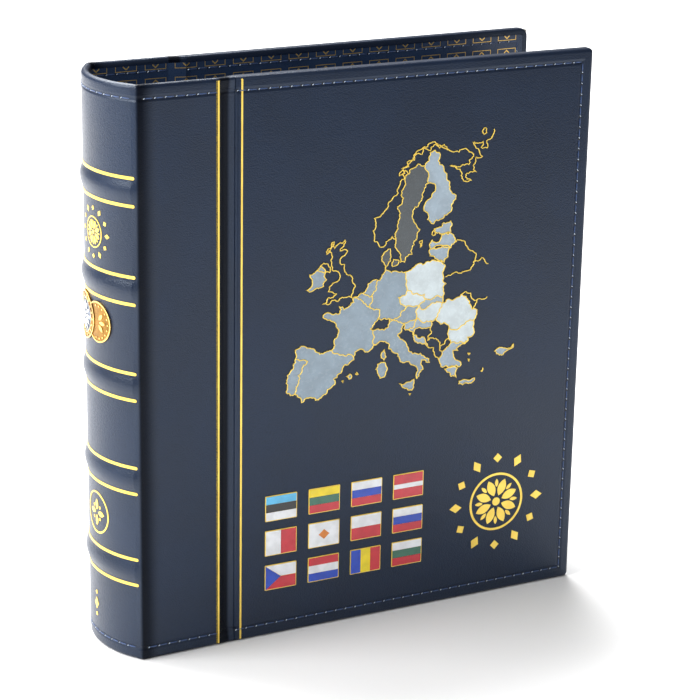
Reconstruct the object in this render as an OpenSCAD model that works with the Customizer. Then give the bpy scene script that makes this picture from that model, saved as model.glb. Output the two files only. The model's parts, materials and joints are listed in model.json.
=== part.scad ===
// Coin album: a padded ring binder with a rounded spine, two stiff side strips, two covers on
// flexible hinges, a four-ring mechanism and three coin leaves. It stands on its lower edges.
// X runs from the spine to the fore edge, Y from the front cover to the back cover, Z up.
// The origin is the middle of the footprint, on the surface that the album stands on.

/* [Case] */
// Height of the album
album_h = 280; // [272:1:300]
// Width of a cover and its strip, from the spine corner to the fore edge
cover_w = 241; // [238:1:260]
// Thickness of the album across its spine corners
case_t = 60; // [60:1:64]
// How far the rounded spine stands out past its corners
spine_bulge = 11; // [10:0.5:12]
// Width of the stiff strip beside the spine
strip_w = 40; // [38:1:42]
// Width of the soft valley between a strip and its cover
valley_w = 8.5; // [8:0.5:10]
// Angle by which each cover stands open at rest, in degrees
flare = 1; // [0:0.5:2]

/* [Layers] */
// Thickness of the leatherette
leather_t = 0.8; // [0.6:0.1:1]
// Thickness of the grey board
board_t = 2.6; // [2.4:0.1:2.8]
// Thickness of the lining paper
lining_t = 0.4; // [0.3:0.1:0.5]
// Thickness of the foam under the leatherette of a cover
foam_t = 2.2; // [1.8:0.1:2.4]

/* [Decoration] */
// Number of raised bands across the spine
band_count = 5; // [3:1:5]
// Height of the middle of the lowest band
band_low = 45.2; // [40:0.1:50]
// Distance from one band to the next
band_pitch = 46.4; // [44:0.1:48]
// Distance of a gold line from the middle of its band
band_line = 6.5; // [6:0.1:7]
// How far a band stands out
band_rise = 1.4; // [1:0.1:1.8]
// Width of a gold line across the spine
spine_line_w = 1.8; // [1.4:0.1:2.2]
// Distance of the stitching from an edge
stitch_in = 6.3; // [5:0.1:7]

/* [Rings] */
// Radius of a ring, to the middle of its wire
ring_r = 18; // [17:0.5:18]
// Radius of the ring wire
wire_r = 1.6; // [1.4:0.1:1.6]
// Distance from one ring to the next
ring_pitch = 70; // [66:1:70]
// Angle by which each half ring opens, in degrees
ring_open = 10; // [6:1:10]

/* [Leaves] */
// Height of a coin leaf
leaf_h = 246; // [240:1:250]
// Thickness of the pocket panel of a leaf
panel_t = 2; // [1.6:0.1:2]
// Angle from one leaf to the next, in degrees
leaf_fan = 5.2; // [5:0.1:5.5]
// Diameter of a coin pocket
pocket_d = 30; // [26:1:32]

/* [Hidden] */
$fn = 96;

// Places worked out from the driving dimensions
half_t = case_t / 2;
arc_r = (half_t * half_t + spine_bulge * spine_bulge) / (2 * spine_bulge);
arc_x = arc_r - spine_bulge;
corner_angle = asin(half_t / arc_r);
corner_w = 3;
band_half = band_line - 2.6;
spine_edge = corner_angle - 4;
strip_t = leather_t + board_t + lining_t;
cover_t = leather_t + foam_t + board_t + lining_t;
hinge_x = strip_w + valley_w / 2;
hinge_depth = 3.2;
hinge_y = hinge_depth - half_t;
cover_x = strip_w + valley_w;
valley_depth = 2.2;
lining_in = 3;
far = 90;

// Thin raised finishes
foil_t = 0.2;
thread_w = 0.6;
thread_t = 0.3;
plate_t = 0.6;

// Gold lines beside a hinge
wide_line_w = 1.4;
wide_line_x = strip_w - 1.6;
narrow_line_w = 0.8;
narrow_line_x = cover_x + 3;

// Ring housing, a channel on the inner face of the spine
housing_low = 22;
housing_h = album_h - 2 * housing_low;
housing_half = 13.6;
housing_foot = arc_x - sqrt(pow(arc_r - strip_t, 2) - housing_half * housing_half) + 0.1;
housing_rise = 6;
housing_wall = 0.8;
shoulder_r = 3.4;
roof_x = housing_foot + housing_rise;
blade_x = housing_foot + 1.9;
blade_t = 1;
blade_y = 12;
blade_low = 31;
ring_foot_y = 7;
ring_foot_r = wire_r - 0.2;
ring_slot_in = 4;
ring_slot_out = 11.8;
ring_x = roof_x - 0.1 + sqrt(ring_r * ring_r - ring_foot_y * ring_foot_y);
ring_z = [for (i = [-1.5:1:1.5]) album_h / 2 + i * ring_pitch];
ring_gap_angle = 0.5;
foot_angle = 180 - asin((ring_foot_y - wire_r) / ring_r);
rivet_z = [75, album_h - 75];
rivet_r = 2;
rivet_head_r = 3.8;
rivet_head_t = 1;
rivet_start = leather_t + 0.25 - spine_bulge;
spacer_r = 3.6;
lever_x = housing_foot + 2.2;
lever_z = housing_low + 4;
lever_pin_r = 1;
lever_bore_r = 1.06;
lever_barrel_r = 1.9;

// Coin leaf, measured from the middle of the rings
leaf_in = 11.5;
leaf_out = cover_w - 6 - ring_x;
margin_t = 0.5;
panel_in = 38;
slot_w = 6;
slot_in = 15.2;
slot_out = 23.8;
pocket_rows = 5;
pocket_columns = 4;
pocket_floor = 0.6;
leaf_low = (album_h - leaf_h) / 2;

// Two coins between the third and the fourth band of the spine
coin_z = 165.2;
large_coin_r = 11.6;
coin_core_r = 8.4;
small_coin_r = 9.9;
large_coin_s = -8;
small_coin_s = 6.6;
coin_rise = 0.9;

// Front decoration, measured from the spine corner and the foot of the cover
emblem_x = 195;
emblem_z = 49.6;
emblem_r = 27.5;
flag_x = 64.7;
flag_z = 24.2;
flag_w = 17;
flag_h = 13.1;
flag_pitch_x = 23.4;
flag_pitch_z = 18.1;
flag_columns = 4;
flag_rows = 3;

navy = [0.13, 0.18, 0.27];
dark_navy = [0.07, 0.10, 0.17];
gold = [0.93, 0.80, 0.42];
silver = [0.78, 0.80, 0.83];
board_grey = [0.55, 0.55, 0.52];

// Moves the drawing from the spine corner to the part's own origin
module placed() {
    translate([(spine_bulge - cover_w) / 2, 0, 0])
        children();
}

module front_side() {
    placed() children();
}

module back_side() {
    placed() mirror([0, 1, 0]) children();
}

// Turns a cover open by its rest angle about the hinge axis
module flared() {
    translate([hinge_x, hinge_y, 0])
        rotate([0, 0, -flare])
            translate([-hinge_x, -hinge_y, 0])
                children();
}

// A box from its low corner to its high corner
module span(low, high) {
    translate(low)
        cube(high - low);
}

// Plan of the case, shrunk by inset: the rounded spine and the space between the strips
module case_plan(inset, reach) {
    intersection() {
        translate([arc_x, 0])
            circle(r = arc_r - inset);
        translate([-spine_bulge - 1, inset - half_t])
            square([arc_x + spine_bulge + 1, case_t - 2 * inset]);
    }
    translate([arc_x - 1, inset - half_t])
        square([reach - arc_x + 1, case_t - 2 * inset]);
}

// A layer of the case in plan, between two insets
module layer_plan(outer, inner) {
    difference() {
        case_plan(outer, far);
        case_plan(inner, far + 1);
    }
}

// The wedge of the plan that belongs to the rounded spine
module spine_wedge(angle) {
    polygon([
        [arc_x, 0],
        [arc_x - far * cos(angle), -far * sin(angle)],
        [arc_x - far, 0],
        [arc_x - far * cos(angle), far * sin(angle)]
    ]);
}

module spine_layer(outer, inner, low, high) {
    translate([0, 0, low])
        linear_extrude(high - low)
            intersection() {
                layer_plan(outer, inner);
                spine_wedge(spine_edge);
            }
}

module corner_layer(outer, inner, low, high) {
    translate([0, 0, low])
        linear_extrude(high - low)
            difference() {
                intersection() {
                    layer_plan(outer, inner);
                    translate([-spine_bulge, -half_t - 1])
                        square([spine_bulge + corner_w, half_t]);
                }
                spine_wedge(spine_edge);
            }
}

// A shell sector of the spine, from one rise above its surface to another
module spine_ring(rise_in, rise_out, angle, low, high) {
    translate([0, 0, low])
        linear_extrude(high - low)
            intersection() {
                difference() {
                    translate([arc_x, 0])
                        circle(r = arc_r + rise_out);
                    translate([arc_x, 0])
                        circle(r = arc_r + rise_in);
                }
                spine_wedge(angle);
            }
}

// A disc or ring laid on the rounded spine, at height z and distance s round the arc
module spine_disc(z, s, r_out, r_in, rise_in, rise_out) {
    intersection() {
        difference() {
            translate([arc_x, 0, z - r_out - 1])
                cylinder(r = arc_r + rise_out, h = 2 * r_out + 2);
            translate([arc_x, 0, z - r_out - 2])
                cylinder(r = arc_r + rise_in, h = 2 * r_out + 4);
        }
        translate([arc_x, 0, z])
            rotate([0, 0, s / arc_r * 180 / PI])
                rotate([0, -90, 0])
                    difference() {
                        cylinder(r = r_out, h = far);
                        if (r_in > 0)
                            translate([0, 0, -1])
                                cylinder(r = r_in, h = far + 2);
                    }
    }
}

function band_z(i) = band_low + i * band_pitch;

// ---- Spine ----

module spine_board() {
    color(board_grey) placed()
        difference() {
            spine_layer(leather_t, leather_t + board_t, leather_t, album_h - leather_t);
            rivet_holes();
        }
}

module spine_bands() {
    color(board_grey) placed()
        for (i = [0:band_count - 1])
            spine_ring(-leather_t, band_rise - leather_t, spine_edge,
                band_z(i) - band_half, band_z(i) + band_half);
}

module spine_leather() {
    inside = leather_t + board_t;
    color(navy) placed()
        difference() {
            union() {
                spine_layer(0, leather_t, 0, album_h);
                spine_layer(leather_t, inside, 0, leather_t);
                spine_layer(leather_t, inside, album_h - leather_t, album_h);
                for (i = [0:band_count - 1])
                    spine_ring(0, band_rise, spine_edge,
                        band_z(i) - band_half - leather_t, band_z(i) + band_half + leather_t);
            }
            for (i = [0:band_count - 1])
                spine_ring(-leather_t, band_rise - leather_t, spine_edge + 1,
                    band_z(i) - band_half, band_z(i) + band_half);
        }
}

module spine_lining() {
    color(dark_navy) placed()
        difference() {
            spine_layer(leather_t + board_t, strip_t, lining_in, album_h - lining_in);
            rivet_holes();
        }
}

module spine_thread() {
    color("steelblue") placed()
        for (z = [stitch_in, album_h - stitch_in])
            spine_ring(0, thread_t, spine_edge, z - thread_w / 2, z + thread_w / 2);
}

module spine_gold_lines() {
    color(gold) placed()
        for (i = [0:band_count - 1], side = [-1, 1])
            spine_ring(0, foil_t, spine_edge - 1,
                band_z(i) + side * band_line - spine_line_w / 2,
                band_z(i) + side * band_line + spine_line_w / 2);
}

// Rosette inside a ring of beads, drawn here as its outer ring and its middle
module spine_emblem() {
    emblem_height = band_z(3) + band_pitch / 2;
    color(gold) placed() {
        spine_disc(emblem_height, 0, 12.6, 10.4, 0, foil_t);
        spine_disc(emblem_height, 0, 6.5, 0, 0, foil_t);
    }
}

module spine_coin_ring() {
    color(gold) placed()
        spine_disc(coin_z, large_coin_s, large_coin_r, coin_core_r, 0, coin_rise);
}

module spine_coin_core() {
    color(silver) placed()
        spine_disc(coin_z, large_coin_s, coin_core_r, 0, 0, coin_rise - 0.1);
}

module spine_coin_small() {
    color(gold) placed()
        difference() {
            spine_disc(coin_z, small_coin_s, small_coin_r, 0, 0, coin_rise - 0.2);
            spine_disc(coin_z, large_coin_s, large_coin_r + 0.05, 0, -1, coin_rise + 1);
        }
}

module spine_ornaments() {
    color(gold) placed() {
        spine_disc(band_z(0) + band_pitch / 2 + 1.5, 0, 9.5, 8, 0, foil_t);
        for (z = [15, 20.5, 26])
            spine_disc(z, 0, 1.6, 0, 0, foil_t);
    }
}

// ---- Ring mechanism ----

// Plan of the channel, shrunk by inset
module channel_plan(inset, foot) {
    r = shoulder_r - inset;
    middle = housing_half - shoulder_r;
    top = roof_x - inset;
    translate([foot, -middle])
        square([top - foot, 2 * middle]);
    translate([foot, inset - housing_half])
        square([top - r - foot, 2 * (housing_half - inset)]);
    for (y = [-middle, middle])
        translate([top - r, y])
            circle(r = r);
}

// Holes for the rivets, sunk for their outer heads
module rivet_holes() {
    for (z = rivet_z) {
        translate([rivet_start - 1, 0, z])
            rotate([0, 90, 0])
                cylinder(r = rivet_r, h = spine_bulge);
        translate([rivet_start - 1, 0, z])
            rotate([0, 90, 0])
                cylinder(r = rivet_head_r, h = 1 + rivet_head_t);
    }
}

module ring_housing() {
    color(silver) placed()
        difference() {
            translate([0, 0, housing_low])
                linear_extrude(housing_h)
                    difference() {
                        channel_plan(0, housing_foot);
                        channel_plan(housing_wall, housing_foot - 1);
                    }
            for (z = ring_z, side = [-1, 1])
                span([roof_x - 2.6, side > 0 ? ring_slot_in : -ring_slot_out, z - 2.2],
                    [roof_x + 1, side > 0 ? ring_slot_out : -ring_slot_in, z + 2.2]);
            for (z = rivet_z)
                translate([roof_x - 3, 0, z])
                    rotate([0, 90, 0])
                        cylinder(r = rivet_r, h = 6);
            for (z = [lever_z, album_h - lever_z])
                translate([lever_x, -housing_half - 1, z])
                    rotate([-90, 0, 0])
                        cylinder(r = lever_pin_r, h = 2 * housing_half + 2);
        }
}

// Rivets with a flat head in the spine board and a domed head on the housing roof
module housing_rivets() {
    dome_r = 7;
    dome_h = 1.2;
    color(silver) placed()
        for (z = rivet_z) {
            translate([rivet_start, 0, z])
                rotate([0, 90, 0]) {
                    cylinder(r = rivet_r, h = roof_x - rivet_start);
                    cylinder(r = rivet_head_r, h = rivet_head_t);
                }
            translate([roof_x, 0, z])
                rotate([0, 90, 0])
                    intersection() {
                        translate([0, 0, dome_h - dome_r])
                            sphere(r = dome_r);
                        cylinder(r = rivet_head_r, h = dome_h + 1);
                    }
        }
}

module housing_spacers() {
    low = arc_x - sqrt(pow(arc_r - strip_t, 2) - spacer_r * spacer_r) + 0.02;
    color(silver) placed()
        for (z = rivet_z)
            translate([low, 0, z])
                rotate([0, 90, 0])
                    difference() {
                        cylinder(r = spacer_r, h = roof_x - housing_wall - low);
                        translate([0, 0, -1])
                            cylinder(r = rivet_r, h = far);
                    }
}

module lever_pins() {
    color(silver) placed()
        for (z = [lever_z, album_h - lever_z])
            translate([lever_x, -housing_half, z])
                rotate([-90, 0, 0])
                    cylinder(r = lever_pin_r, h = 2 * housing_half);
}

module blade() {
    color(silver)
        difference() {
            span([blade_x - blade_t / 2, -blade_y, blade_low],
                [blade_x + blade_t / 2, -0.15, album_h - blade_low]);
            for (z = rivet_z)
                translate([blade_x - 2, 0, z])
                    rotate([0, 90, 0])
                        cylinder(r = spacer_r + 1, h = 4);
        }
}

// Half rings: each is most of a half circle of wire on a straight foot in its blade
module half_rings() {
    knee_x = ring_x - sqrt(ring_r * ring_r - ring_foot_y * ring_foot_y);
    foot_x = blade_x - blade_t / 2;
    color(silver)
        for (z = ring_z) {
            translate([ring_x, 0, z])
                rotate([0, 0, -foot_angle])
                    rotate_extrude(angle = foot_angle - ring_gap_angle)
                        translate([ring_r, 0])
                            circle(r = wire_r);
            translate([foot_x, -ring_foot_y, z])
                rotate([0, 90, 0])
                    cylinder(r = ring_foot_r, h = knee_x - foot_x);
        }
}

module front_blade() {
    front_side() blade();
}

module back_blade() {
    back_side() blade();
}

module front_half_rings() {
    front_side() half_rings();
}

module back_half_rings() {
    back_side() half_rings();
}

// Lever of the lower end: a barrel round its pin, a tongue inside and a bent thumb tab outside
module lever() {
    tab_half = 6.5;
    color(silver)
        difference() {
            union() {
                translate([lever_x, -11.5, lever_z])
                    rotate([-90, 0, 0])
                        cylinder(r = lever_barrel_r, h = 23);
                span([lever_x - 0.6, -10, lever_z], [lever_x + 0.6, 10, lever_z + 4]);
                translate([lever_x, tab_half, lever_z])
                    rotate([90, 0, 0])
                        linear_extrude(2 * tab_half)
                            polygon([
                                [-0.6, 0], [0.6, 0], [0.7, -5.2], [6.2, -12.4], [5.2, -13.2], [-0.6, -5.6]
                            ]);
            }
            translate([lever_x, -20, lever_z])
                rotate([-90, 0, 0])
                    cylinder(r = lever_bore_r, h = 40);
        }
}

module bottom_lever() {
    placed() lever();
}

module top_lever() {
    placed()
        translate([0, 0, album_h])
            mirror([0, 0, 1])
                lever();
}

// ---- Coin leaves ----

// A leaf turned by angle towards the front: a thin punched margin and a panel of round pockets
module leaf(angle) {
    panel_w = leaf_out - panel_in;
    pitch_x = panel_w / pocket_columns;
    pitch_z = leaf_h / pocket_rows;
    color(dark_navy)
        translate([ring_x, 0, leaf_low])
            rotate([0, 0, -angle])
                difference() {
                    union() {
                        span([leaf_in, -margin_t / 2, 0], [panel_in, margin_t / 2, leaf_h]);
                        span([panel_in, -panel_t / 2, 0], [leaf_out, panel_t / 2, leaf_h]);
                    }
                    for (z = ring_z) {
                        span([slot_in + slot_w / 2, -1, z - leaf_low - slot_w / 2],
                            [slot_out - slot_w / 2, 1, z - leaf_low + slot_w / 2]);
                        for (x = [slot_in + slot_w / 2, slot_out - slot_w / 2])
                            translate([x, 1, z - leaf_low])
                                rotate([90, 0, 0])
                                    cylinder(r = slot_w / 2, h = 2);
                    }
                    for (i = [0.5:pocket_columns - 0.5], j = [0.5:pocket_rows - 0.5])
                        translate([panel_in + i * pitch_x, -panel_t, j * pitch_z])
                            rotate([-90, 0, 0])
                                cylinder(r = pocket_d / 2, h = 1.5 * panel_t - pocket_floor);
                }
}

module front_leaf() {
    placed() leaf(leaf_fan);
}

module middle_leaf() {
    placed() leaf(0);
}

module back_leaf() {
    placed() leaf(-leaf_fan);
}

// ---- Side strips, drawn for the front ----

module strip_box(depth_in, depth_out, x_in, x_out, low, high) {
    span([x_in, depth_in - half_t, low], [x_out, depth_out - half_t, high]);
}

module strip_board() {
    color(board_grey)
        strip_box(leather_t, leather_t + board_t, corner_w, strip_w, leather_t, album_h - leather_t);
}

module strip_leather() {
    inside = leather_t + board_t;
    color(navy) {
        strip_box(0, leather_t, corner_w, strip_w, 0, album_h);
        strip_box(0, inside, corner_w, strip_w, 0, leather_t);
        strip_box(0, inside, corner_w, strip_w, album_h - leather_t, album_h);
    }
}

module strip_lining() {
    color(dark_navy)
        strip_box(leather_t + board_t, strip_t, corner_w, strip_w, lining_in, album_h - lining_in);
}

module strip_thread() {
    color("steelblue")
        for (z = [stitch_in, album_h - stitch_in])
            strip_box(-thread_t, 0, corner_w, strip_w, z - thread_w / 2, z + thread_w / 2);
}

module strip_gold_line() {
    color(gold)
        strip_box(-foil_t, 0, wide_line_x - wide_line_w / 2, wide_line_x + wide_line_w / 2,
            stitch_in + thread_w, album_h - stitch_in - thread_w);
}

module front_strip_board() {
    front_side() strip_board();
}

module front_strip_leather() {
    front_side() strip_leather();
}

module front_strip_lining() {
    front_side() strip_lining();
}

module front_strip_thread() {
    front_side() strip_thread();
}

module front_strip_gold_line() {
    front_side() strip_gold_line();
}

module back_strip_board() {
    back_side() strip_board();
}

module back_strip_leather() {
    back_side() strip_leather();
}

module back_strip_lining() {
    back_side() strip_lining();
}

module back_strip_thread() {
    back_side() strip_thread();
}

module back_strip_gold_line() {
    back_side() strip_gold_line();
}

// ---- Folds between the spine and the strips, and valleys between the strips and the covers ----

module corner_leather() {
    color(navy)
        corner_layer(0, leather_t, 0, album_h);
}

module corner_lining() {
    color(dark_navy)
        corner_layer(leather_t + board_t, strip_t, lining_in, album_h - lining_in);
}

module front_corner_leather() {
    front_side() corner_leather();
}

module front_corner_lining() {
    front_side() corner_lining();
}

module back_corner_leather() {
    back_side() corner_leather();
}

module back_corner_lining() {
    back_side() corner_lining();
}

module hinge_leather() {
    clear = 0.3;
    slope = 2.3;
    near = strip_w;
    end = cover_x - clear;
    outer = [[near, 0], [near + slope, valley_depth], [end - slope, valley_depth], [end, 0]];
    inner = [
        [end, leather_t], [end - slope + 0.4, valley_depth + leather_t],
        [near + slope - 0.4, valley_depth + leather_t], [near, leather_t]
    ];
    color(navy)
        translate([0, -half_t, 0])
            linear_extrude(album_h)
                polygon(concat(outer, inner));
}

module hinge_lining() {
    end = cover_x - 0.3;
    color(dark_navy)
        translate([0, -half_t, lining_in])
            linear_extrude(album_h - 2 * lining_in)
                polygon([
                    [strip_w, strip_t - lining_t], [end, cover_t - lining_t],
                    [end, cover_t], [strip_w, strip_t]
                ]);
}

module front_hinge_leather() {
    front_side() hinge_leather();
}

module front_hinge_lining() {
    front_side() hinge_lining();
}

module back_hinge_leather() {
    back_side() hinge_leather();
}

module back_hinge_lining() {
    back_side() hinge_lining();
}

// ---- Covers, drawn for the front ----

module cover_box(depth_in, depth_out, x_in, x_out, low, high) {
    flared()
        span([x_in, depth_in - half_t, low], [x_out, depth_out - half_t, high]);
}

module cover_board() {
    color(board_grey)
        cover_box(leather_t + foam_t, cover_t - lining_t, cover_x, cover_w - leather_t,
            leather_t, album_h - leather_t);
}

module cover_foam() {
    color("gainsboro")
        cover_box(leather_t, leather_t + foam_t, cover_x, cover_w - leather_t,
            leather_t, album_h - leather_t);
}

// Leatherette over the foam, turned in round three edges of the board
module cover_leather() {
    color(navy)
        difference() {
            cover_box(0, cover_t - lining_t, cover_x, cover_w, 0, album_h);
            cover_box(leather_t, cover_t, cover_x - 1, cover_w - leather_t,
                leather_t, album_h - leather_t);
        }
}

module cover_lining() {
    color(dark_navy)
        cover_box(cover_t - lining_t, cover_t, cover_x, cover_w - lining_in,
            lining_in, album_h - lining_in);
}

module cover_thread() {
    edge = cover_w - stitch_in;
    color("steelblue") {
        for (z = [stitch_in, album_h - stitch_in])
            cover_box(-thread_t, 0, cover_x, edge, z - thread_w / 2, z + thread_w / 2);
        cover_box(-thread_t, 0, edge - thread_w / 2, edge + thread_w / 2,
            stitch_in, album_h - stitch_in);
    }
}

module cover_gold_line() {
    color(gold)
        cover_box(-foil_t, 0, narrow_line_x - narrow_line_w / 2, narrow_line_x + narrow_line_w / 2,
            stitch_in + thread_w, album_h - stitch_in - thread_w);
}

module front_board() {
    front_side() cover_board();
}

module front_foam() {
    front_side() cover_foam();
}

module front_leather() {
    front_side() cover_leather();
}

module front_lining() {
    front_side() cover_lining();
}

module front_thread() {
    front_side() cover_thread();
}

module front_gold_line() {
    front_side() cover_gold_line();
}

module back_board() {
    back_side() cover_board();
}

module back_foam() {
    back_side() cover_foam();
}

module back_leather() {
    back_side() cover_leather();
}

module back_lining() {
    back_side() cover_lining();
}

module back_thread() {
    back_side() cover_thread();
}

module back_gold_line() {
    back_side() cover_gold_line();
}

// ---- Front decoration ----

// A flat shape, drawn in plan from the spine corner and the foot, on the face of the front cover
module on_front(rise) {
    front_side()
        flared()
            translate([0, -half_t, 0])
                rotate([90, 0, 0])
                    linear_extrude(rise)
                        children();
}

// Land plates of the map, each a rough outline
map_land = [
    [[80, 146], [99, 143], [111, 138], [101, 127], [94, 120], [84, 120], [76, 125], [77, 133]],
    [[95, 160], [103, 163], [111, 168], [126, 176], [139, 178], [157, 181], [161, 169], [160, 160],
        [171, 163], [179, 154], [175, 139], [165, 138], [152, 151], [138, 152], [122, 146],
        [112, 141], [100, 143]],
    [[124, 144], [138, 152], [154, 131], [147, 123], [134, 137]],
    [[165, 138], [159, 131], [166, 122], [171, 126], [168, 135]],
    [[133, 193], [139, 184], [147, 214], [149, 229], [137, 222]],
    [[149, 230], [158, 228], [165, 212], [154, 201], [149, 206], [153, 219]],
    [[152, 188], [154, 200], [163, 200], [165, 188], [160, 181]],
    [[86, 175], [87, 183], [94, 185], [96, 177]]
];

module map_inlay() {
    color("slategray")
        on_front(plate_t)
            for (outline = map_land)
                polygon(outline);
}

module flag_plates() {
    color("whitesmoke")
        on_front(plate_t)
            for (i = [0:flag_columns - 1], j = [0:flag_rows - 1])
                translate([flag_x + i * flag_pitch_x, flag_z + j * flag_pitch_z])
                    square([flag_w, flag_h]);
}

// Rosette inside a ring of beads, drawn here as its outer ring and its middle
module front_emblem() {
    color(gold)
        on_front(foil_t)
            translate([emblem_x, emblem_z]) {
                difference() {
                    circle(r = emblem_r);
                    circle(r = emblem_r - 4);
                }
                circle(r = 12);
            }
}

spine_board();
spine_bands();
spine_leather();
spine_lining();
spine_thread();
spine_gold_lines();
spine_emblem();
spine_coin_ring();
spine_coin_core();
spine_coin_small();
spine_ornaments();
ring_housing();
housing_rivets();
housing_spacers();
lever_pins();
front_blade();
front_half_rings();
back_blade();
back_half_rings();
top_lever();
bottom_lever();
front_leaf();
middle_leaf();
back_leaf();
front_strip_board();
front_strip_leather();
front_strip_lining();
front_strip_thread();
front_strip_gold_line();
back_strip_board();
back_strip_leather();
back_strip_lining();
back_strip_thread();
back_strip_gold_line();
front_corner_leather();
front_corner_lining();
back_corner_leather();
back_corner_lining();
front_hinge_leather();
front_hinge_lining();
back_hinge_leather();
back_hinge_lining();
front_board();
front_foam();
front_leather();
front_lining();
front_thread();
front_gold_line();
back_board();
back_foam();
back_leather();
back_lining();
back_thread();
back_gold_line();
map_inlay();
flag_plates();
front_emblem();
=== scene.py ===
"""Looks of the coin album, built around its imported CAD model.

Lengths inside the classes are in millimetres from the spine corner, the middle of the thickness and
the foot of the album, and each piece is brought into the model's own frame, in metres, when it is
finished.
"""

import json
import logging
import math
import random
from collections.abc import Callable, Iterable, Sequence
from dataclasses import dataclass, field
from enum import Enum

import bpy
from mathutils import Matrix, Vector

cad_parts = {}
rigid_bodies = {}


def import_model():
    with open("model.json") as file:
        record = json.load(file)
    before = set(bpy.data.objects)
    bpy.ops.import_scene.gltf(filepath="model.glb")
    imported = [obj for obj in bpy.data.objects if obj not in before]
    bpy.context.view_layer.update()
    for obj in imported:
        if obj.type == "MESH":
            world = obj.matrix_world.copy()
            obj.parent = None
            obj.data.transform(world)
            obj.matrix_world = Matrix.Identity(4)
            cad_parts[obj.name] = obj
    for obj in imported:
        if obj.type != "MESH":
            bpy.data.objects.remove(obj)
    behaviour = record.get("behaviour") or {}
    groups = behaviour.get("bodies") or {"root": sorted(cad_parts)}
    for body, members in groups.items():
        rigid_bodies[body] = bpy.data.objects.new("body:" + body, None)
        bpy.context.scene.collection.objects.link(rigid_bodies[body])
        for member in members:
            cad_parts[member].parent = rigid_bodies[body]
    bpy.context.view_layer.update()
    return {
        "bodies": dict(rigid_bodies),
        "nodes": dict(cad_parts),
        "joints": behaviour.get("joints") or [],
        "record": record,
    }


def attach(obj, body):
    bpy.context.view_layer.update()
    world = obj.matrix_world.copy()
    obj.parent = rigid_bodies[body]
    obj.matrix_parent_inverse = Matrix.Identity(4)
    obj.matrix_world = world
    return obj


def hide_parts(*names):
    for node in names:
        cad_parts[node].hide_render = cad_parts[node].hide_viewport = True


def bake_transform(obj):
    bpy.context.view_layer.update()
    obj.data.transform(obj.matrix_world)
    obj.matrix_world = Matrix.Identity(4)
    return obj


log = logging.getLogger("coin_album")

MM = 0.001
Point = tuple[float, float]
Outline = Sequence[Point]


class Side(Enum):
    """Which half of the case a piece belongs to."""

    FRONT = "front"
    BACK = "back"


@dataclass(frozen=True)
class Case:
    """Leading sizes of the case, the same as the CAD model's.

    Attributes are millimetres, apart from ``flare``, which is in degrees.
    """

    height: float = 280.0
    width: float = 241.0
    half: float = 30.0
    bulge: float = 11.0
    strip: float = 40.0
    valley: float = 8.5
    flare: float = 1.0
    leather: float = 0.8
    board_in: float = 3.4
    strip_t: float = 3.8
    cover_t: float = 6.0
    hinge_depth: float = 3.2
    corner: float = 3.0
    stitch: float = 6.3

    @property
    def arc_r(self) -> float:
        """Radius of the rounded spine."""
        return (self.half**2 + self.bulge**2) / (2 * self.bulge)

    @property
    def arc_x(self) -> float:
        """Place of the spine's axis along the cover."""
        return self.arc_r - self.bulge

    @property
    def edge_angle(self) -> float:
        """Angle in radians from the middle of the spine to where its stiff board ends."""
        return math.asin(self.half / self.arc_r) - math.radians(4)

    @property
    def shift(self) -> float:
        """Distance from the spine corner to the model's origin."""
        return (self.width - self.bulge) / 2

    @property
    def cover_start(self) -> float:
        """Near edge of a cover."""
        return self.strip + self.valley

    @property
    def hinge_x(self) -> float:
        """Place of a cover's hinge line."""
        return self.strip + self.valley / 2

    def home(self) -> Matrix:
        """Return the move from album millimetres to the model's frame."""
        return Matrix.Scale(MM, 4) @ Matrix.Translation((-self.shift, 0, 0))

    def flared(self) -> Matrix:
        """Return the turn of the front cover about its hinge.

        Returns:
            The turn, in the drawing's own axes.
        """
        pivot = Vector((self.hinge_x, self.hinge_depth - self.half, 0))
        turn = Matrix.Rotation(math.radians(-self.flare), 4, "Z")
        return Matrix.Translation(pivot) @ turn @ Matrix.Translation(-pivot)

    def on_cover(self) -> Matrix:
        """Return the move from a flat drawing (right, up, out) to the front cover's face."""
        stand = Matrix(((1, 0, 0, 0), (0, 0, -1, -self.half), (0, 1, 0, 0), (0, 0, 0, 1)))
        return self.flared() @ stand

    def on_strip(self) -> Matrix:
        """Return the move from a flat drawing (right, up, out) to the front strip's face."""
        return Matrix(((1, 0, 0, 0), (0, 0, -1, -self.half), (0, 1, 0, 0), (0, 0, 0, 1)))


CASE = Case()
MIRROR = Matrix.Scale(-1, 4, (0, 1, 0))


def rounded(corners: Sequence[tuple[float, float, float]], steps: int = 5) -> list[Point]:
    """Round the corners of a closed outline.

    Args:
        corners: Each corner's place and radius.
        steps: Number of pieces in each rounded corner.

    Returns:
        The outline's points in order.
    """
    points: list[Point] = []
    count = len(corners)
    for i, (x, y, radius) in enumerate(corners):
        here = Vector((x, y))
        before = Vector(corners[i - 1][:2]) - here
        after = Vector(corners[(i + 1) % count][:2]) - here
        if radius <= 0:
            points.append((x, y))
            continue
        before.normalize()
        after.normalize()
        half = before.angle(after) / 2
        reach = radius / math.tan(half)
        middle = here + (before + after).normalized() * (radius / math.sin(half))
        first = here + before * reach - middle
        last = here + after * reach - middle
        turn = first.angle_signed(last)
        for k in range(steps + 1):
            arm = first.copy()
            arm.rotate(Matrix.Rotation(-turn * k / steps, 2))
            points.append((middle.x + arm.x, middle.y + arm.y))
    return points


def disc(radius: float, at: Point = (0, 0), count: int = 32) -> list[Point]:
    """Return the outline of a disc about a point."""
    turn = 2 * math.pi / count
    return [
        (at[0] + radius * math.cos(i * turn), at[1] + radius * math.sin(i * turn))
        for i in range(count)
    ]


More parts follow.
